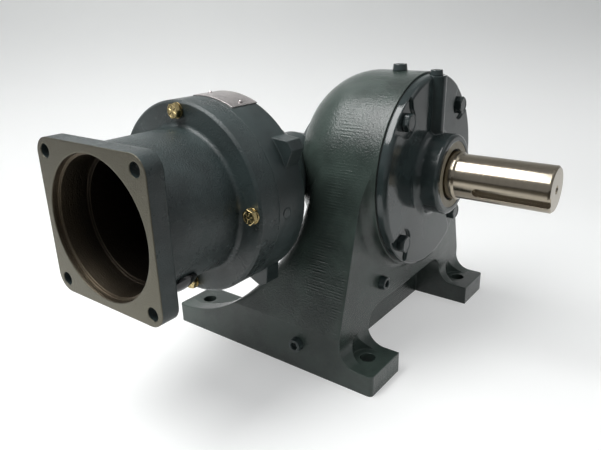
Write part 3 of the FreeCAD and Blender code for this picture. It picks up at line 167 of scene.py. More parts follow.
class StageLook(bpy.types.PropertyGroup):
    """Floor, light and camera."""

    floor_colour: bpy.props.FloatVectorProperty(
        name="Floor colour", description="Pale floor and backdrop", subtype="COLOR", size=4,
        default=(0.70, 0.71, 0.70, 1), min=0, max=1)
    shade_colour: bpy.props.FloatVectorProperty(
        name="Shade colour", description="What the object gets back from the floor in front of the camera",
        subtype="COLOR", size=4, default=(0.10, 0.092, 0.075, 1), min=0, max=1)
    key_power: bpy.props.FloatProperty(
        name="Key light", description="Power of the long lamp above", unit="POWER", default=13.0, min=0)
    top_power: bpy.props.FloatProperty(
        name="Top light", description="Power of the lamp above the floor behind", unit="POWER", default=1.5,
        min=0)
    back_power: bpy.props.FloatProperty(
        name="Back light", description="Power of the lamp behind the object", unit="POWER", default=7.0,
        min=0)
    room_light: bpy.props.FloatProperty(
        name="Room light", description="Strength of the light from all round", default=0.33, min=0)
    room_seen: bpy.props.FloatProperty(
        name="Room seen", description="Strength of the room as the camera sees it", default=0.9, min=0)
    floor_glow: bpy.props.FloatProperty(
        name="Floor glow", description="Brightness that the floor adds for the camera and in reflections",
        default=0.38, min=0)
    focal_length: bpy.props.FloatProperty(
        name="Focal length", description="Camera focal length for a 36 mm wide frame", unit="CAMERA",
        default=34.53, min=1)
    camera_place: bpy.props.FloatVectorProperty(
        name="Camera place", description="Where the camera stands", subtype="TRANSLATION",
        default=(0.3304, -0.4986, 0.3191))
    camera_turn: bpy.props.FloatVectorProperty(
        name="Camera turn", description="Yaw to the left, pitch down and roll of the camera", subtype="EULER",
        default=(math.radians(37.41), math.radians(20.36), math.radians(-1.456)))


class ReducerLook(bpy.types.PropertyGroup):
    """All settings of the reducer's looks."""

    paint: bpy.props.PointerProperty(type=PaintLook)
    metal: bpy.props.PointerProperty(type=MetalLook)
    cover_bolt: bpy.props.PointerProperty(type=CoverBoltSizes)
    adaptor_bolt: bpy.props.PointerProperty(type=AdaptorBoltSizes)
    stage: bpy.props.PointerProperty(type=StageLook)


def nodes_of(*slots):
    """The frame's nodes whose material slot is one of these."""
    return [node for name, node in frame["nodes"].items() if SLOT_OF[name] in slots]


def give(material, objects):
    """Put one material on objects in place of what they have."""
    for piece in objects:
        piece.data.materials.clear()
        piece.data.materials.append(material)


def new_material(name):
    """A material with an empty tree but for its shader and output; gives back the tree and the shader too."""
    material = bpy.data.materials.new(name)
    material.use_nodes = True
    tree = material.node_tree
    tree.nodes.clear()
    shader = tree.nodes.new("ShaderNodeBsdfPrincipled")
    output = tree.nodes.new("ShaderNodeOutputMaterial")
    tree.links.new(shader.outputs["BSDF"], output.inputs["Surface"])
    return material, tree, shader


def new_group(name, inputs, outputs):
    """A shader group with float inputs (name, default) and outputs (name, kind); gives its tree and ends."""
    tree = bpy.data.node_groups.new(name, "ShaderNodeTree")
    for label, default in inputs:
        socket = tree.interface.new_socket(label, in_out="INPUT", socket_type="NodeSocketFloat")
        socket.default_value = default
    for label, kind in outputs:
        tree.interface.new_socket(label, in_out="OUTPUT", socket_type=kind)
    return tree, tree.nodes.new("NodeGroupInput"), tree.nodes.new("NodeGroupOutput")


def put(tree, source, target):
    """Set a socket to a value, or link another socket to it."""
    if isinstance(source, bpy.types.NodeSocket):
        tree.links.new(source, target)
    else:
        target.default_value = source


def math_node(tree, operation, first, second=0.0, clamp=False):
    """Math node; gives its result."""
    node = tree.nodes.new("ShaderNodeMath")
    node.operation = operation
    node.use_clamp = clamp
    put(tree, first, node.inputs[0])
    put(tree, second, node.inputs[1])
    return node.outputs[0]


def ramp(tree, value, low, high, to_low=0.0, to_high=1.0):
    """Map a range of a value smoothly to another."""
    node = tree.nodes.new("ShaderNodeMapRange")
    node.interpolation_type = "SMOOTHSTEP"
    put(tree, value, node.inputs["Value"])
    node.inputs["From Min"].default_value = low
    node.inputs["From Max"].default_value = high
    put(tree, to_low, node.inputs["To Min"])
    put(tree, to_high, node.inputs["To Max"])
    return node.outputs["Result"]


def mixed(tree, share, first, second):
    """Mix of two colours."""
    node = tree.nodes.new("ShaderNodeMix")
    node.data_type = "RGBA"
    put(tree, share, node.inputs[0])
    put(tree, first, node.inputs[6])
    put(tree, second, node.inputs[7])
    return node.outputs[2]


def place_on(tree, stretch=(1, 1, 1), centre=(0, 0, 0)):
    """Object coordinates about a centre, stretched."""
    coordinates = tree.nodes.new("ShaderNodeTexCoord")
    mapping = tree.nodes.new("ShaderNodeMapping")
    mapping.vector_type = "POINT"
    mapping.inputs["Scale"].default_value = stretch
    mapping.inputs["Location"].default_value = [-c * s for c, s in zip(centre, stretch)]
    tree.links.new(coordinates.outputs["Object"], mapping.inputs["Vector"])
    return mapping.outputs["Vector"]


def noise(tree, vector, scale, detail=3.0, roughness=0.55):
    """Noise texture; gives its factor."""
    node = tree.nodes.new("ShaderNodeTexNoise")
    put(tree, vector, node.inputs["Vector"])
    put(tree, scale, node.inputs["Scale"])
    node.inputs["Detail"].default_value = detail
    node.inputs["Roughness"].default_value = roughness
    return node.outputs["Fac"]


def bumped(tree, height, depth, normal=None):
    """Bump of a height, in metres of depth; gives the normal."""
    node = tree.nodes.new("ShaderNodeBump")
    node.inputs["Distance"].default_value = depth
    put(tree, height, node.inputs["Height"])
    if normal is not None:
        tree.links.new(normal, node.inputs["Normal"])
    return node.outputs["Normal"]


def grouped(tree, name, **values):
    """Place a shader group in a material and set its inputs by name."""
    node = tree.nodes.new("ShaderNodeGroup")
    node.node_tree = bpy.data.node_groups[name]
    for label, value in values.items():
        put(tree, value, node.inputs[label.replace("_", " ")])
    return node.outputs


def separate(tree, vector):
    """The three parts of a vector."""
    node = tree.nodes.new("ShaderNodeSeparateXYZ")
    tree.links.new(vector, node.inputs["Vector"])
    return node.outputs


def cast_skin_group():
    """Sand-cast skin under paint: grain, broken level lines, and a slow mottle."""
    tree, start, end = new_group(
        "Cast skin", [("Grain size", 0.0018), ("Line spacing", 0.0023), ("Line share", 0.5)],
        [("Height", "NodeSocketFloat"), ("Mottle", "NodeSocketFloat")])
    where = place_on(tree)
    grain_scale = math_node(tree, "DIVIDE", 1.0, start.outputs["Grain size"])
    grain = noise(tree, where, grain_scale, detail=4.0, roughness=0.6)
    wave = tree.nodes.new("ShaderNodeTexWave")
    wave.bands_direction = "Z"
    wave_period = math.pi / 10
    put(tree, where, wave.inputs["Vector"])
    put(tree, math_node(tree, "DIVIDE", wave_period, start.outputs["Line spacing"]), wave.inputs["Scale"])
    wave.inputs["Distortion"].default_value = 0.6
    wave.inputs["Detail"].default_value = 2.0
    wave.inputs["Detail Scale"].default_value = 0.25
    patches = noise(tree, place_on(tree, stretch=(1.0, 1.0, 0.45)), 34.0, detail=2.0)
    strokes = noise(tree, place_on(tree, stretch=(0.25, 0.25, 3.0)), 150.0, detail=2.0)
    across = separate(tree, where)["X"]
    belt_start, belt_full, belt_fade, belt_end = 0.036, 0.056, 0.084, 0.090
    belt = math_node(tree, "MULTIPLY", ramp(tree, across, belt_start, belt_full),
                     ramp(tree, across, belt_end, belt_fade))
    broken = math_node(tree, "MULTIPLY", ramp(tree, patches, 0.40, 0.58), ramp(tree, strokes, 0.36, 0.56))
    broken = math_node(tree, "MULTIPLY", broken, belt)
    lines = math_node(tree, "MULTIPLY", wave.outputs["Fac"], broken)
    lines = math_node(tree, "MULTIPLY", lines, start.outputs["Line share"])
    tree.links.new(math_node(tree, "ADD", grain, lines), end.inputs["Height"])
    tree.links.new(noise(tree, where, 22.0, detail=5.0), end.inputs["Mottle"])


def edge_group():
    """Rounded normal at sharp edges and a mask of those edges."""
    tree, start, end = new_group("Edge rounding", [("Radius", 0.0015)],
                                 [("Normal", "NodeSocketVector"), ("Edge", "NodeSocketFloat")])
    bevel = tree.nodes.new("ShaderNodeBevel")
    bevel.samples = 6
    tree.links.new(start.outputs["Radius"], bevel.inputs["Radius"])
    flat = tree.nodes.new("ShaderNodeNewGeometry")
    turn = tree.nodes.new("ShaderNodeVectorMath")
    turn.operation = "DOT_PRODUCT"
    tree.links.new(bevel.outputs["Normal"], turn.inputs[0])
    tree.links.new(flat.outputs["Normal"], turn.inputs[1])
    tree.links.new(bevel.outputs["Normal"], end.inputs["Normal"])
    tree.links.new(ramp(tree, turn.outputs["Value"], 0.995, 0.90), end.inputs["Edge"])


def turned_grain_group():
    """Fine marks of turning and grinding: rings along an axis and rings about it."""
    tree, start, end = new_group("Turned grain", [("Along", 0.0), ("Radius", 0.0), ("Spacing", 0.0004)],
                                 [("Height", "NodeSocketFloat"), ("Streak", "NodeSocketFloat")])
    joined = tree.nodes.new("ShaderNodeCombineXYZ")
    tree.links.new(start.outputs["Along"], joined.inputs["X"])
    tree.links.new(start.outputs["Radius"], joined.inputs["Y"])
    fine = math_node(tree, "DIVIDE", 1.0, start.outputs["Spacing"])
    tree.links.new(noise(tree, joined.outputs["Vector"], fine, detail=2.0), end.inputs["Height"])
    coarse = math_node(tree, "DIVIDE", fine, 9.0)
    streak = noise(tree, joined.outputs["Vector"], coarse, detail=4.0, roughness=0.7)
    tree.links.new(streak, end.inputs["Streak"])


def handling_group():
    """Smudges of oil and dust that settle on any surface."""
    tree, start, end = new_group("Handling marks", [("Size", 0.03)], [("Smudge", "NodeSocketFloat")])
    scale = math_node(tree, "DIVIDE", 1.0, start.outputs["Size"])
    cloud = noise(tree, place_on(tree), scale, detail=6.0, roughness=0.65)
    tree.links.new(ramp(tree, cloud, 0.35, 0.75), end.inputs["Smudge"])


def axis_parts(tree, centre, axis):
    """Distance along an axis through a centre and radius about it, in object coordinates."""
    parts = separate(tree, place_on(tree, centre=centre))
    across = [part for name, part in zip("XYZ", parts) if name != axis]
    squares = [math_node(tree, "MULTIPLY", part, part) for part in across]
    radius = math_node(tree, "SQRT", math_node(tree, "ADD", squares[0], squares[1]))
    return parts["XYZ".index(axis)], radius


def scaled(colour, factor):
    """A colour made lighter or darker."""
    return [min(1.0, part * factor) for part in colour[:3]] + [1.0]


def painted(name, colour, paint, line_share, grain_depth, roughness, fineness=1.0):
    """Gloss paint over a casting."""
    material, tree, shader = new_material(name)
    skin = grouped(tree, "Cast skin", Grain_size=paint.grain_size / fineness, Line_spacing=paint.line_spacing,
                   Line_share=line_share)
    edge = grouped(tree, "Edge rounding", Radius=paint.edge_round)
    marks = grouped(tree, "Handling marks", Size=0.035)
    base = mixed(tree, ramp(tree, skin["Mottle"], 0.35, 0.65), scaled(colour, 0.78), scaled(colour, 1.35))
    # Lighter paint on the edges: partly paint worn thin, partly a painted highlight where the edges catch the
    # light
    wear_and_highlight_share, wear_and_highlight_lightness = 0.45, 2.1
    wear_and_highlight = math_node(tree, "MULTIPLY", edge["Edge"], wear_and_highlight_share)
    tree.links.new(mixed(tree, wear_and_highlight, base, scaled(colour, wear_and_highlight_lightness)), shader.inputs["Base Color"])
    wiped, dusty = 0.07, 0.12
    smudged = ramp(tree, marks["Smudge"], 0.0, 1.0, roughness - wiped, roughness + dusty)
    tree.links.new(smudged, shader.inputs["Roughness"])
    tree.links.new(bumped(tree, skin["Height"], grain_depth, edge["Normal"]), shader.inputs["Normal"])
    return material, tree, shader


def bare_metal(name, colour, centre, axis, spacing, roughness, depth, unevenness=0.2):
    """Turned or ground metal whose marks run about an axis."""
    material, tree, shader = new_material(name)
    along, radius = axis_parts(tree, centre, axis)
    grain = grouped(tree, "Turned grain", Along=along, Radius=radius, Spacing=spacing)
    marks = grouped(tree, "Handling marks", Size=0.02)
    base = mixed(tree, ramp(tree, grain["Streak"], 0.3, 0.7), scaled(colour, 1 - unevenness), tuple(colour))
    tree.links.new(base, shader.inputs["Base Color"])
    shader.inputs["Metallic"].default_value = 1.0
    uneven = math_node(tree, "ADD", math_node(tree, "MULTIPLY", grain["Streak"], 0.5),
                       math_node(tree, "MULTIPLY", marks["Smudge"], 0.5))
    smoothest = roughness * (1 - unevenness)
    roughest = roughness * (1 + 1.5 * unevenness)
    tree.links.new(ramp(tree, uneven, 0.2, 0.8, smoothest, roughest), shader.inputs["Roughness"])
    edge = grouped(tree, "Edge rounding", Radius=0.0005)
    tree.links.new(bumped(tree, grain["Height"], depth, edge["Normal"]), shader.inputs["Normal"])
    return material


def moulded(name, colour, roughness, grain_size, depth):
    """Rubber or plastic with a fine moulded grain."""
    material, tree, shader = new_material(name)
    skin = noise(tree, place_on(tree), 1.0 / grain_size, detail=3.0)
    marks = grouped(tree, "Handling marks", Size=0.012)
    dusty = [part * 0.85 + 0.03 for part in colour[:3]] + [1.0]
    tree.links.new(mixed(tree, math_node(tree, "MULTIPLY", marks["Smudge"], 0.6), tuple(colour), dusty),
                   shader.inputs["Base Color"])
    smudged = ramp(tree, marks["Smudge"], 0.0, 1.0, roughness * 0.8, roughness * 1.2)
    tree.links.new(smudged, shader.inputs["Roughness"])
    edge = grouped(tree, "Edge rounding", Radius=0.0006)
    tree.links.new(bumped(tree, skin, depth, edge["Normal"]), shader.inputs["Normal"])
    return material


def bared(tree, shader, mask, metal, roughness):
    """Let bare machined metal show through a paint where a mask is one."""
    base = shader.inputs["Base Color"].links[0].from_socket
    tree.links.new(mixed(tree, mask, base, metal), shader.inputs["Base Color"])
    bare = mask
    if shader.inputs["Metallic"].links:
        bare = math_node(tree, "MAXIMUM", mask, shader.inputs["Metallic"].links[0].from_socket)
    tree.links.new(bare, shader.inputs["Metallic"])
    rough = shader.inputs["Roughness"].links[0].from_socket
    blend = tree.nodes.new("ShaderNodeMix")
    put(tree, mask, blend.inputs[0])
    put(tree, rough, blend.inputs[2])
    put(tree, roughness, blend.inputs[3])
    tree.links.new(blend.outputs[0], shader.inputs["Roughness"])


def adaptor_paint(look):
    """Paint of the motor adaptor, which leaves its flange's face and its bore bare."""
    paint = look.paint
    material, tree, shader = painted("Adaptor paint", paint.smooth_colour, paint, line_share=0.0,
                                     grain_depth=0.00045, roughness=0.32, fineness=1.7)
    along, radius = axis_parts(tree, INPUT_AXIS, "Y")
    face_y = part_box("motor_adaptor")[0].y
    register_r = 0.0573
    bare_depth, paint_depth = 0.0003, 0.0006
    face = ramp(tree, along, face_y + paint_depth, face_y + bare_depth)
    inside = ramp(tree, radius, register_r + 0.0010, register_r + 0.0005)
    bore = math_node(tree, "MULTIPLY", inside, ramp(tree, along, face_y + bare_depth, face_y + paint_depth))
    bared(tree, shader, face, tuple(look.metal.bare_colour), roughness=0.38)
    # Painted shade: the bore's colour goes darker further in from the flange face, where shade falls inside it;
    # this also keeps the inner step dark
    bore_shade_start, bore_shade_full = 0.006, 0.030
    deep = ramp(tree, along, face_y + bore_shade_start, face_y + bore_shade_full)
    oiled = mixed(tree, deep, tuple(look.metal.bore_colour), tuple(look.metal.bore_shade_colour))
    bared(tree, shader, bore, oiled, roughness=0.40)
    rings = grouped(tree, "Turned grain", Along=along, Radius=radius, Spacing=0.0008)
    tool_marks = math_node(tree, "MULTIPLY", rings["Height"], bore)
    cast_normal = shader.inputs["Normal"].links[0].from_socket
    tree.links.new(bumped(tree, tool_marks, 0.00025, cast_normal), shader.inputs["Normal"])
    return material


def bolt_head(sizes, washer):
    """Hexagon bolt along +Z, seated at z = 0; one with a lock washer has ridges on its head too."""
    flat = sizes.across_flats / 2
    height = sizes.head_height
    seat = sizes.washer_height if washer else 0.0
    steps = 48
    crown_r = flat * 0.93
    dish_r, dish_floor_r = crown_r * 0.90, crown_r * 0.84
    dish_floor = seat + height * 0.94
    washer_face_r = flat * 0.95
    washer_face = seat + height * 0.05
    point_r, point_length = sizes.shank * 0.42, sizes.shank * 0.1
    shank_end = -4 * sizes.shank
    slope = math.tan(math.radians(30))
    mesh = bmesh.new()
    rings = []

    def ring(radius_at, height_at):
        rings.append([])
        for index in range(steps):
            angle = 2 * math.pi * index / steps
            hexagon = flat / math.cos((angle % (math.pi / 3)) - math.pi / 6)
            radius = radius_at(hexagon)
            rings[-1].append(mesh.verts.new((radius * math.cos(angle), radius * math.sin(angle),
                                             height_at(hexagon))))

    ring(lambda h: point_r, lambda h: shank_end)
    ring(lambda h: sizes.shank / 2, lambda h: shank_end + point_length)
    ring(lambda h: sizes.shank / 2, lambda h: seat)
    ring(lambda h: washer_face_r, lambda h: seat)
    ring(lambda h: washer_face_r, lambda h: washer_face)
    ring(lambda h: h, lambda h: washer_face)
    ring(lambda h: h, lambda h: seat + height - (h - crown_r) * slope)
    ring(lambda h: crown_r, lambda h: seat + height)
    ring(lambda h: dish_r, lambda h: seat + height)
    ring(lambda h: dish_floor_r, lambda h: dish_floor)
    for low, high in zip(rings, rings[1:]):
        for index in range(steps):
            following = (index + 1) % steps
            mesh.faces.new((low[index], low[following], high[following], high[index]))
    mesh.faces.new(list(reversed(rings[0])))
    mesh.faces.new(rings[-1])
    if washer:
        head_ridges(mesh, crown_r * 0.80, dish_floor)
        lock_washer(mesh, sizes)
    data = bpy.data.meshes.new("Bolt")
    mesh.to_mesh(data)
    mesh.free()
    return bpy.data.objects.new("Bolt", data)


def head_ridges(mesh, reach, top):
    """Six low ridges that run out from near the middle of a bolt head."""
    half = reach * 0.07
    inner, outer = 0.32, 0.98
    sunk = -0.0002
    rise = 0.0003
    for index in range(6):
        turn = Matrix.Rotation(math.pi / 6 + math.pi / 3 * index, 4, "Z")
        corners = []
        for level, share in ((sunk, 1.0), (rise, 0.6)):
            for along, side in ((inner, -1), (outer, -1), (outer, 1), (inner, 1)):
                corner = Vector((reach * along, side * half * share, top + level))
                corners.append(mesh.verts.new(turn @ corner))
        low, high = corners[:4], corners[4:]
        mesh.faces.new(high)
        mesh.faces.new(list(reversed(low)))
        for side in range(4):
            following = (side + 1) % 4
            mesh.faces.new((low[side], low[following], high[following], high[side]))


def lock_washer(mesh, sizes):
    """Split spring washer round the shank, its ends a little apart in height."""
    steps = 40
    gap = math.radians(9)
    outer = sizes.washer_width / 2
    inner = sizes.shank / 2 + 0.0002
    rise = sizes.washer_height * 0.25
    thickness = sizes.washer_height - rise
    sections = []
    for index in range(steps + 1):
        share = index / steps
        angle = gap / 2 + (2 * math.pi - gap) * share
        low = rise * share
        corners = ((inner, low), (outer, low), (outer, low + thickness), (inner, low + thickness))
        sections.append([mesh.verts.new((r * math.cos(angle), r * math.sin(angle), z)) for r, z in corners])
    for first, second in zip(sections, sections[1:]):
        for side in range(4):
            following = (side + 1) % 4
            mesh.faces.new((first[side], first[following], second[following], second[side]))
    mesh.faces.new(list(reversed(sections[0])))
    mesh.faces.new(sections[-1])
    bmesh.ops.recalc_face_normals(mesh, faces=mesh.faces[:])


def bolt_circle_tree():
    """Geometry Nodes tree: bolts spread on a circle, each at its own angle, then turned and put in place."""
    tree = bpy.data.node_groups.new("Bolt circle", "GeometryNodeTree")
    wanted = (("Bolt", "NodeSocketObject"), ("Count", "NodeSocketInt"), ("Circle radius", "NodeSocketFloat"),
              ("First angle", "NodeSocketFloat"), ("Turn", "NodeSocketVector"), ("Place", "NodeSocketVector"),
              ("Finish", "NodeSocketMaterial"))
    for name, kind in wanted:
        tree.interface.new_socket(name, in_out="INPUT", socket_type=kind)
    tree.interface.new_socket("Geometry", in_out="OUTPUT", socket_type="NodeSocketGeometry")
    start = tree.nodes.new("NodeGroupInput")
    end = tree.nodes.new("NodeGroupOutput")
    circle = tree.nodes.new("GeometryNodeMeshCircle")
    source = tree.nodes.new("GeometryNodeObjectInfo")
    angle = tree.nodes.new("FunctionNodeRandomValue")
    spin = tree.nodes.new("ShaderNodeCombineXYZ")
    spread = tree.nodes.new("GeometryNodeInstanceOnPoints")
    joined = tree.nodes.new("GeometryNodeRealizeInstances")
    first = tree.nodes.new("ShaderNodeCombineXYZ")
    turned = tree.nodes.new("GeometryNodeTransform")
    placed = tree.nodes.new("GeometryNodeTransform")
    finish = tree.nodes.new("GeometryNodeSetMaterial")
    angle.data_type = "FLOAT"
    angle.inputs[2].default_value = 0.0
    angle.inputs[3].default_value = math.radians(60)
    angle.inputs["Seed"].default_value = 4
    link = tree.links.new
    link(start.outputs["Count"], circle.inputs["Vertices"])
    link(start.outputs["Circle radius"], circle.inputs["Radius"])
    link(start.outputs["Bolt"], source.inputs["Object"])
    link(angle.outputs[1], spin.inputs["Z"])
    link(circle.outputs["Mesh"], spread.inputs["Points"])
    link(source.outputs["Geometry"], spread.inputs["Instance"])
    link(spin.outputs["Vector"], spread.inputs["Rotation"])
    link(spread.outputs["Instances"], joined.inputs["Geometry"])
    link(start.outputs["First angle"], first.inputs["Z"])
    link(joined.outputs["Geometry"], turned.inputs["Geometry"])
    link(first.outputs["Vector"], turned.inputs["Rotation"])
    link(turned.outputs["Geometry"], placed.inputs["Geometry"])
    link(start.outputs["Turn"], placed.inputs["Rotation"])
    link(start.outputs["Place"], placed.inputs["Translation"])
    link(placed.outputs["Geometry"], finish.inputs["Geometry"])
    link(start.outputs["Finish"], finish.inputs["Material"])
    link(finish.outputs["Geometry"], end.inputs["Geometry"])
    return tree


def bolts_on_circle(name, bolt, finish, count, radius, first, turn, place):
    """Mesh of a circle of bolts from the Geometry Nodes tree, as a plain object."""
    tree = bpy.data.node_groups.get("Bolt circle") or bolt_circle_tree()
    piece = bpy.data.objects.new(name, bpy.data.meshes.new(name))
    scene = bpy.context.scene
    for item in (piece, bolt):
        scene.collection.objects.link(item)
    modifier = piece.modifiers.new("Bolts", "NODES")
    modifier.node_group = tree
    values = {"Bolt": bolt, "Count": count, "Circle radius": radius, "First angle": first, "Turn": turn,
              "Place": place, "Finish": finish}
    for item in tree.interface.items_tree:
        if item.in_out == "INPUT":
            modifier[item.identifier] = values[item.name]
    view = bpy.context.evaluated_depsgraph_get()
    mesh = bpy.data.meshes.new_from_object(piece.evaluated_get(view))
    piece.modifiers.clear()
    piece.data = mesh
    mesh.name = name
    bpy.data.objects.remove(bolt)
    smooth_by_angle(mesh, 30)
    return piece


def smooth_by_angle(mesh, degrees):
    """Smooth faces with sharp edges where they meet at more than an angle."""
    for face in mesh.polygons:
        face.use_smooth = True
    mesh.set_sharp_from_angle(angle=math.radians(degrees))


class REDUCER_OT_groups(bpy.types.Operator):
    """Build the shared shader groups"""

    bl_idname = "reducer.groups"
    bl_label = "Shared surface effects"

    def execute(self, context):
        cast_skin_group()
        edge_group()
        turned_grain_group()
        handling_group()
        return {"FINISHED"}


class REDUCER_OT_castings(bpy.types.Operator):
    """Paint the main casing and the smoother castings, with the motor flange left bare"""

    bl_idname = "reducer.castings"
    bl_label = "Painted castings"

    def execute(self, context):
        look = context.scene.reducer
        paint = look.paint
        rough, _, rough_shader = painted("Rough casting paint", paint.casing_colour, paint, line_share=0.42,
                                         grain_depth=0.00036, roughness=0.15, fineness=1.3)
        rough_shader.inputs["Specular IOR Level"].default_value = 0.45
        smooth, _, _ = painted("Smooth casting paint", paint.smooth_colour, paint, line_share=0.0,
                               grain_depth=0.00012, roughness=paint.roughness)
        cover, _, _ = painted("Cover paint", paint.smooth_colour, paint, line_share=0.0, grain_depth=0.00006,
                              roughness=0.13)
        give(rough, nodes_of("casting_paint"))
        give(smooth, nodes_of("smooth_paint"))
        give(adaptor_paint(look), [frame["nodes"]["motor_adaptor"]])
        give(cover, [frame["nodes"]["output_cover"]])
        return {"FINISHED"}


class REDUCER_OT_steel(bpy.types.Operator):
    """Finish the output shaft, the gears, the bearings and the bushes"""

    bl_idname = "reducer.steel"
    bl_label = "Bare metal"

    def execute(self, context):
        metal = context.scene.reducer.metal
        shaft = bare_metal("Ground shaft steel", metal.shaft_colour, OUTPUT_AXIS, "X", spacing=0.0003,
                           roughness=0.17, depth=0.00001, unevenness=0.07)
        gears = bare_metal("Oiled gear steel", metal.gear_colour, OUTPUT_AXIS, "X", spacing=0.0005,
                           roughness=0.34, depth=0.00003)
        races = bare_metal("Bearing steel", metal.shaft_colour, OUTPUT_AXIS, "X", spacing=0.0002,
                           roughness=0.14, depth=0.00001)
        bronze = bare_metal("Bush bronze", metal.bronze_colour, OUTPUT_AXIS, "X", spacing=0.0004,
                            roughness=0.30, depth=0.00002)
        plate = bare_metal("Plate metal", metal.plate_colour, INPUT_AXIS, "X", spacing=0.0006,
                           roughness=0.42, depth=0.00002)
        give(shaft, nodes_of("ground_steel"))
        give(gears, nodes_of("gear_steel"))
        give(races, nodes_of("bearing_steel"))
        give(bronze, nodes_of("bronze"))
        give(plate, nodes_of("plate_metal"))
        return {"FINISHED"}


class REDUCER_OT_seals(bpy.types.Operator):
    """Finish the seals, the gasket, the coupling spider and the access plug"""

    bl_idname = "reducer.seals"
    bl_label = "Rubber and plastic"

    def execute(self, context):
        metal = context.scene.reducer.metal
        coating = moulded("Seal case coating", metal.seal_colour, roughness=0.5, grain_size=0.0009,
                          depth=0.00003)
        rubber = moulded("Black rubber", metal.rubber_colour, roughness=0.55, grain_size=0.0006,
                         depth=0.00004)
        plastic = moulded("Black gloss plastic", metal.plastic_colour, roughness=0.12, grain_size=0.004,
                          depth=0.00002)
        give(coating, nodes_of("seal_tan"))
        give(rubber, nodes_of("black_rubber"))
        give(plastic, nodes_of("black_plastic"))
        return {"FINISHED"}


class REDUCER_OT_adaptor_bolts(bpy.types.Operator):
    """Plated hexagon bolts with lock washers round the adaptor's disc"""

    bl_idname = "reducer.adaptor_bolts"
    bl_label = "Adaptor bolts"

    def execute(self, context):
        look = context.scene.reducer
        finish = bare_metal("Yellow zinc plate", look.metal.zinc_colour, INPUT_AXIS, "Y", spacing=0.0007,
                            roughness=0.19, depth=0.00003)
        low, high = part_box("adaptor_washers")
        cad_washer_width = 0.0146
        radius = (high.x - low.x - cad_washer_width) / 2
        bolt = bolt_head(look.adaptor_bolt, washer=True)
        piece = bolts_on_circle("adaptor_bolts_plated", bolt, finish, 4, radius, 0.0,
                                (math.radians(90), 0, 0), (INPUT_AXIS.x, high.y, INPUT_AXIS.z))
        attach(piece, HOUSING)
        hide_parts("adaptor_bolts", "adaptor_washers")
        return {"FINISHED"}


class REDUCER_OT_cover_bolts(bpy.types.Operator):
    """Painted hexagon bolts of the output cover, and the other painted fasteners and plugs"""

    bl_idname = "reducer.cover_bolts"
    bl_label = "Painted bolts and plugs"

    def execute(self, context):
        look = context.scene.reducer
        finish, _, _ = painted("Fastener paint", look.paint.smooth_colour, look.paint, line_share=0.0,
                               grain_depth=0.00008, roughness=look.paint.roughness - 0.2)
        give(finish, nodes_of("dark_fastener"))
        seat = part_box("cover_bolts")[1].x - look.cover_bolt.head_height
        bolt = bolt_head(look.cover_bolt, washer=False)
        piece = bolts_on_circle("cover_bolts_painted", bolt, finish, 4, look.cover_bolt.circle_radius,
                                math.radians(45), (0, math.radians(90), 0),
                                (seat, OUTPUT_AXIS.y, OUTPUT_AXIS.z))
        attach(piece, HOUSING)
        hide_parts("cover_bolts")
        return {"FINISHED"}


def sweep_floor():
    """Floor that curves up into a backdrop, turned to face the camera."""
    half = 6.0
    reach = 0.9
    height = 2.2
    bend = 0.5
    steps = 16
    profile = [(-half, 0.0), (reach - bend, 0.0)]
    for index in range(1, steps + 1):
        angle = math.pi / 2 * index / steps
        profile.append((reach - bend + bend * math.sin(angle), bend - bend * math.cos(angle)))
    profile.append((reach, height))
    mesh = bmesh.new()
    rows = [[mesh.verts.new((side * half, y, z)) for side in (-1, 1)] for y, z in profile]
    for low, high in zip(rows, rows[1:]):
        mesh.faces.new((low[0], low[1], high[1], high[0]))
    data = bpy.data.meshes.new("Floor")
    mesh.to_mesh(data)
    mesh.free()
    for face in data.polygons:
        face.use_smooth = True
    return bpy.data.objects.new("Floor", data)


def floor_cloth(stage):
    """Pale floor and backdrop; in front of the camera the floor gives the object little light back."""
    material, tree, shader = new_material("Pale floor")
    parts = separate(tree, place_on(tree))
    pale = mixed(tree, noise(tree, place_on(tree), 3.0, detail=4.0), scaled(stage.floor_colour, 0.95),
                 tuple(stage.floor_colour))
    path = tree.nodes.new("ShaderNodeLightPath")
    shade_end, pale_start = -0.47, -0.27
    near = ramp(tree, parts["Y"], shade_end, pale_start)
    lit = math_node(tree, "MAXIMUM", path.outputs["Is Camera Ray"], near)
    tree.links.new(mixed(tree, lit, tuple(stage.shade_colour), pale), shader.inputs["Base Color"])
    shader.inputs["Roughness"].default_value = 0.9
    mirrored = math_node(tree, "MULTIPLY", path.outputs["Is Glossy Ray"], near)
    seen = math_node(tree, "MAXIMUM", path.outputs["Is Camera Ray"], mirrored)
    backdrop_height = 0.35
    glow = ramp(tree, parts["Z"], 0.0, backdrop_height, stage.floor_glow, stage.floor_glow * 0.3)
    shader.inputs["Emission Color"].default_value = (1, 1, 1, 1)
    tree.links.new(math_node(tree, "MULTIPLY", seen, glow), shader.inputs["Emission Strength"])
    return material


def room(stage):
    """World that lights softly from all round, and that the camera sees as a pale room."""
    world = bpy.data.worlds.new("Room")
    world.use_nodes = True
    tree = world.node_tree
    background = tree.nodes["Background"]
    background.inputs["Color"].default_value = (0.95, 0.97, 1.0, 1)
    path = tree.nodes.new("ShaderNodeLightPath")
    strength = ramp(tree, path.outputs["Is Camera Ray"], 0.0, 1.0, stage.room_light, stage.room_seen)
    tree.links.new(strength, background.inputs["Strength"])
    return world


def lamp(name, power, width, depth, place, aim):
    """Rectangular area lamp that looks at a point, its depth along the Y axis."""
    data = bpy.data.lights.new(name, "AREA")
    data.shape = "RECTANGLE"
    data.energy = power
    data.size = width
    data.size_y = depth
    item = bpy.data.objects.new(name, data)
    back = (Vector(place) - Vector(aim)).normalized()
    across = Vector((0, 1, 0)).cross(back).normalized()
    turn = Matrix((across, back.cross(across), back)).transposed().to_4x4()
    item.matrix_world = Matrix.Translation(place) @ turn
    bpy.context.scene.collection.objects.link(item)


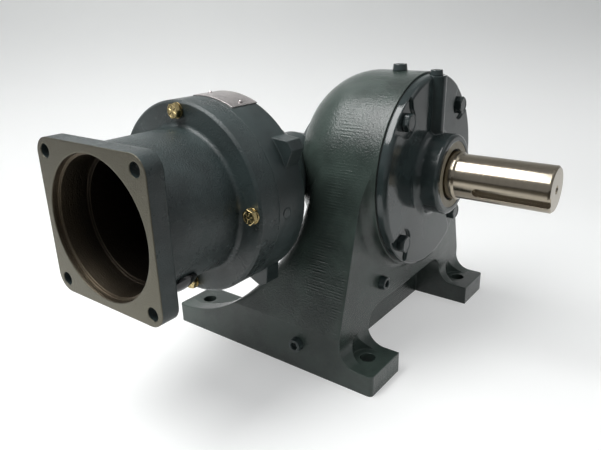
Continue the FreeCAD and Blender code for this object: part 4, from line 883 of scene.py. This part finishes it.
def photo_camera(stage):
    """Camera at the photograph's viewing angle."""
    yaw, pitch, roll = stage.camera_turn
    forward = Vector((-math.sin(yaw) * math.cos(pitch), math.cos(yaw) * math.cos(pitch), -math.sin(pitch)))
    level = forward.cross(Vector((0, 0, 1))).normalized()
    upright = level.cross(forward)
    right = level * math.cos(roll) + upright * math.sin(roll)
    up = upright * math.cos(roll) - level * math.sin(roll)
    data = bpy.data.cameras.new("Camera")
    data.sensor_width = 36.0
    data.lens = stage.focal_length
    data.clip_start = 0.01
    camera = bpy.data.objects.new("Camera", data)
    camera.matrix_world = Matrix.Translation(stage.camera_place) @ Matrix(
        (right, up, -forward)).transposed().to_4x4()
    bpy.context.scene.collection.objects.link(camera)
    bpy.context.scene.camera = camera


class REDUCER_OT_stage(bpy.types.Operator):
    """Pale floor and backdrop, soft light and the camera"""

    bl_idname = "reducer.stage"
    bl_label = "Stage"

    def execute(self, context):
        stage = context.scene.reducer.stage
        floor = sweep_floor()
        floor.rotation_euler.z = stage.camera_turn[0]
        context.scene.collection.objects.link(floor)
        give(floor_cloth(stage), [floor])
        for name, power, width, depth, place, aim in LAMPS:
            lamp(name, getattr(stage, power), width, depth, place, aim)
        context.scene.world = room(stage)
        context.scene.view_settings.view_transform = "Standard"
        photo_camera(stage)
        return {"FINISHED"}


OPERATORS = (REDUCER_OT_groups, REDUCER_OT_castings, REDUCER_OT_steel, REDUCER_OT_seals,
             REDUCER_OT_adaptor_bolts, REDUCER_OT_cover_bolts, REDUCER_OT_stage)


class REDUCER_PT_panel(bpy.types.Panel):
    """Lists the steps that finish the reducer"""

    bl_idname = "REDUCER_PT_panel"
    bl_label = "Gear reducer"
    bl_space_type = "VIEW_3D"
    bl_region_type = "UI"
    bl_category = "Reducer"

    def draw(self, context):
        column = self.layout.column()
        for operator in OPERATORS:
            column.operator(operator.bl_idname)


SETTINGS = (PaintLook, MetalLook, CoverBoltSizes, AdaptorBoltSizes, StageLook, ReducerLook)
CLASSES = SETTINGS + OPERATORS + (REDUCER_PT_panel,)


def register():
    """Register the classes and the scene's settings."""
    for item in CLASSES:
        bpy.utils.register_class(item)
    bpy.types.Scene.reducer = bpy.props.PointerProperty(type=ReducerLook)


def unregister():
    """Remove the settings and the classes."""
    del bpy.types.Scene.reducer
    for item in reversed(CLASSES):
        bpy.utils.unregister_class(item)


def main():
    """Finish every piece and set the stage."""
    register()
    for operator in OPERATORS:
        group, name = operator.bl_idname.split(".")
        getattr(getattr(bpy.ops, group), name)()


if __name__ == "__main__":
    main()
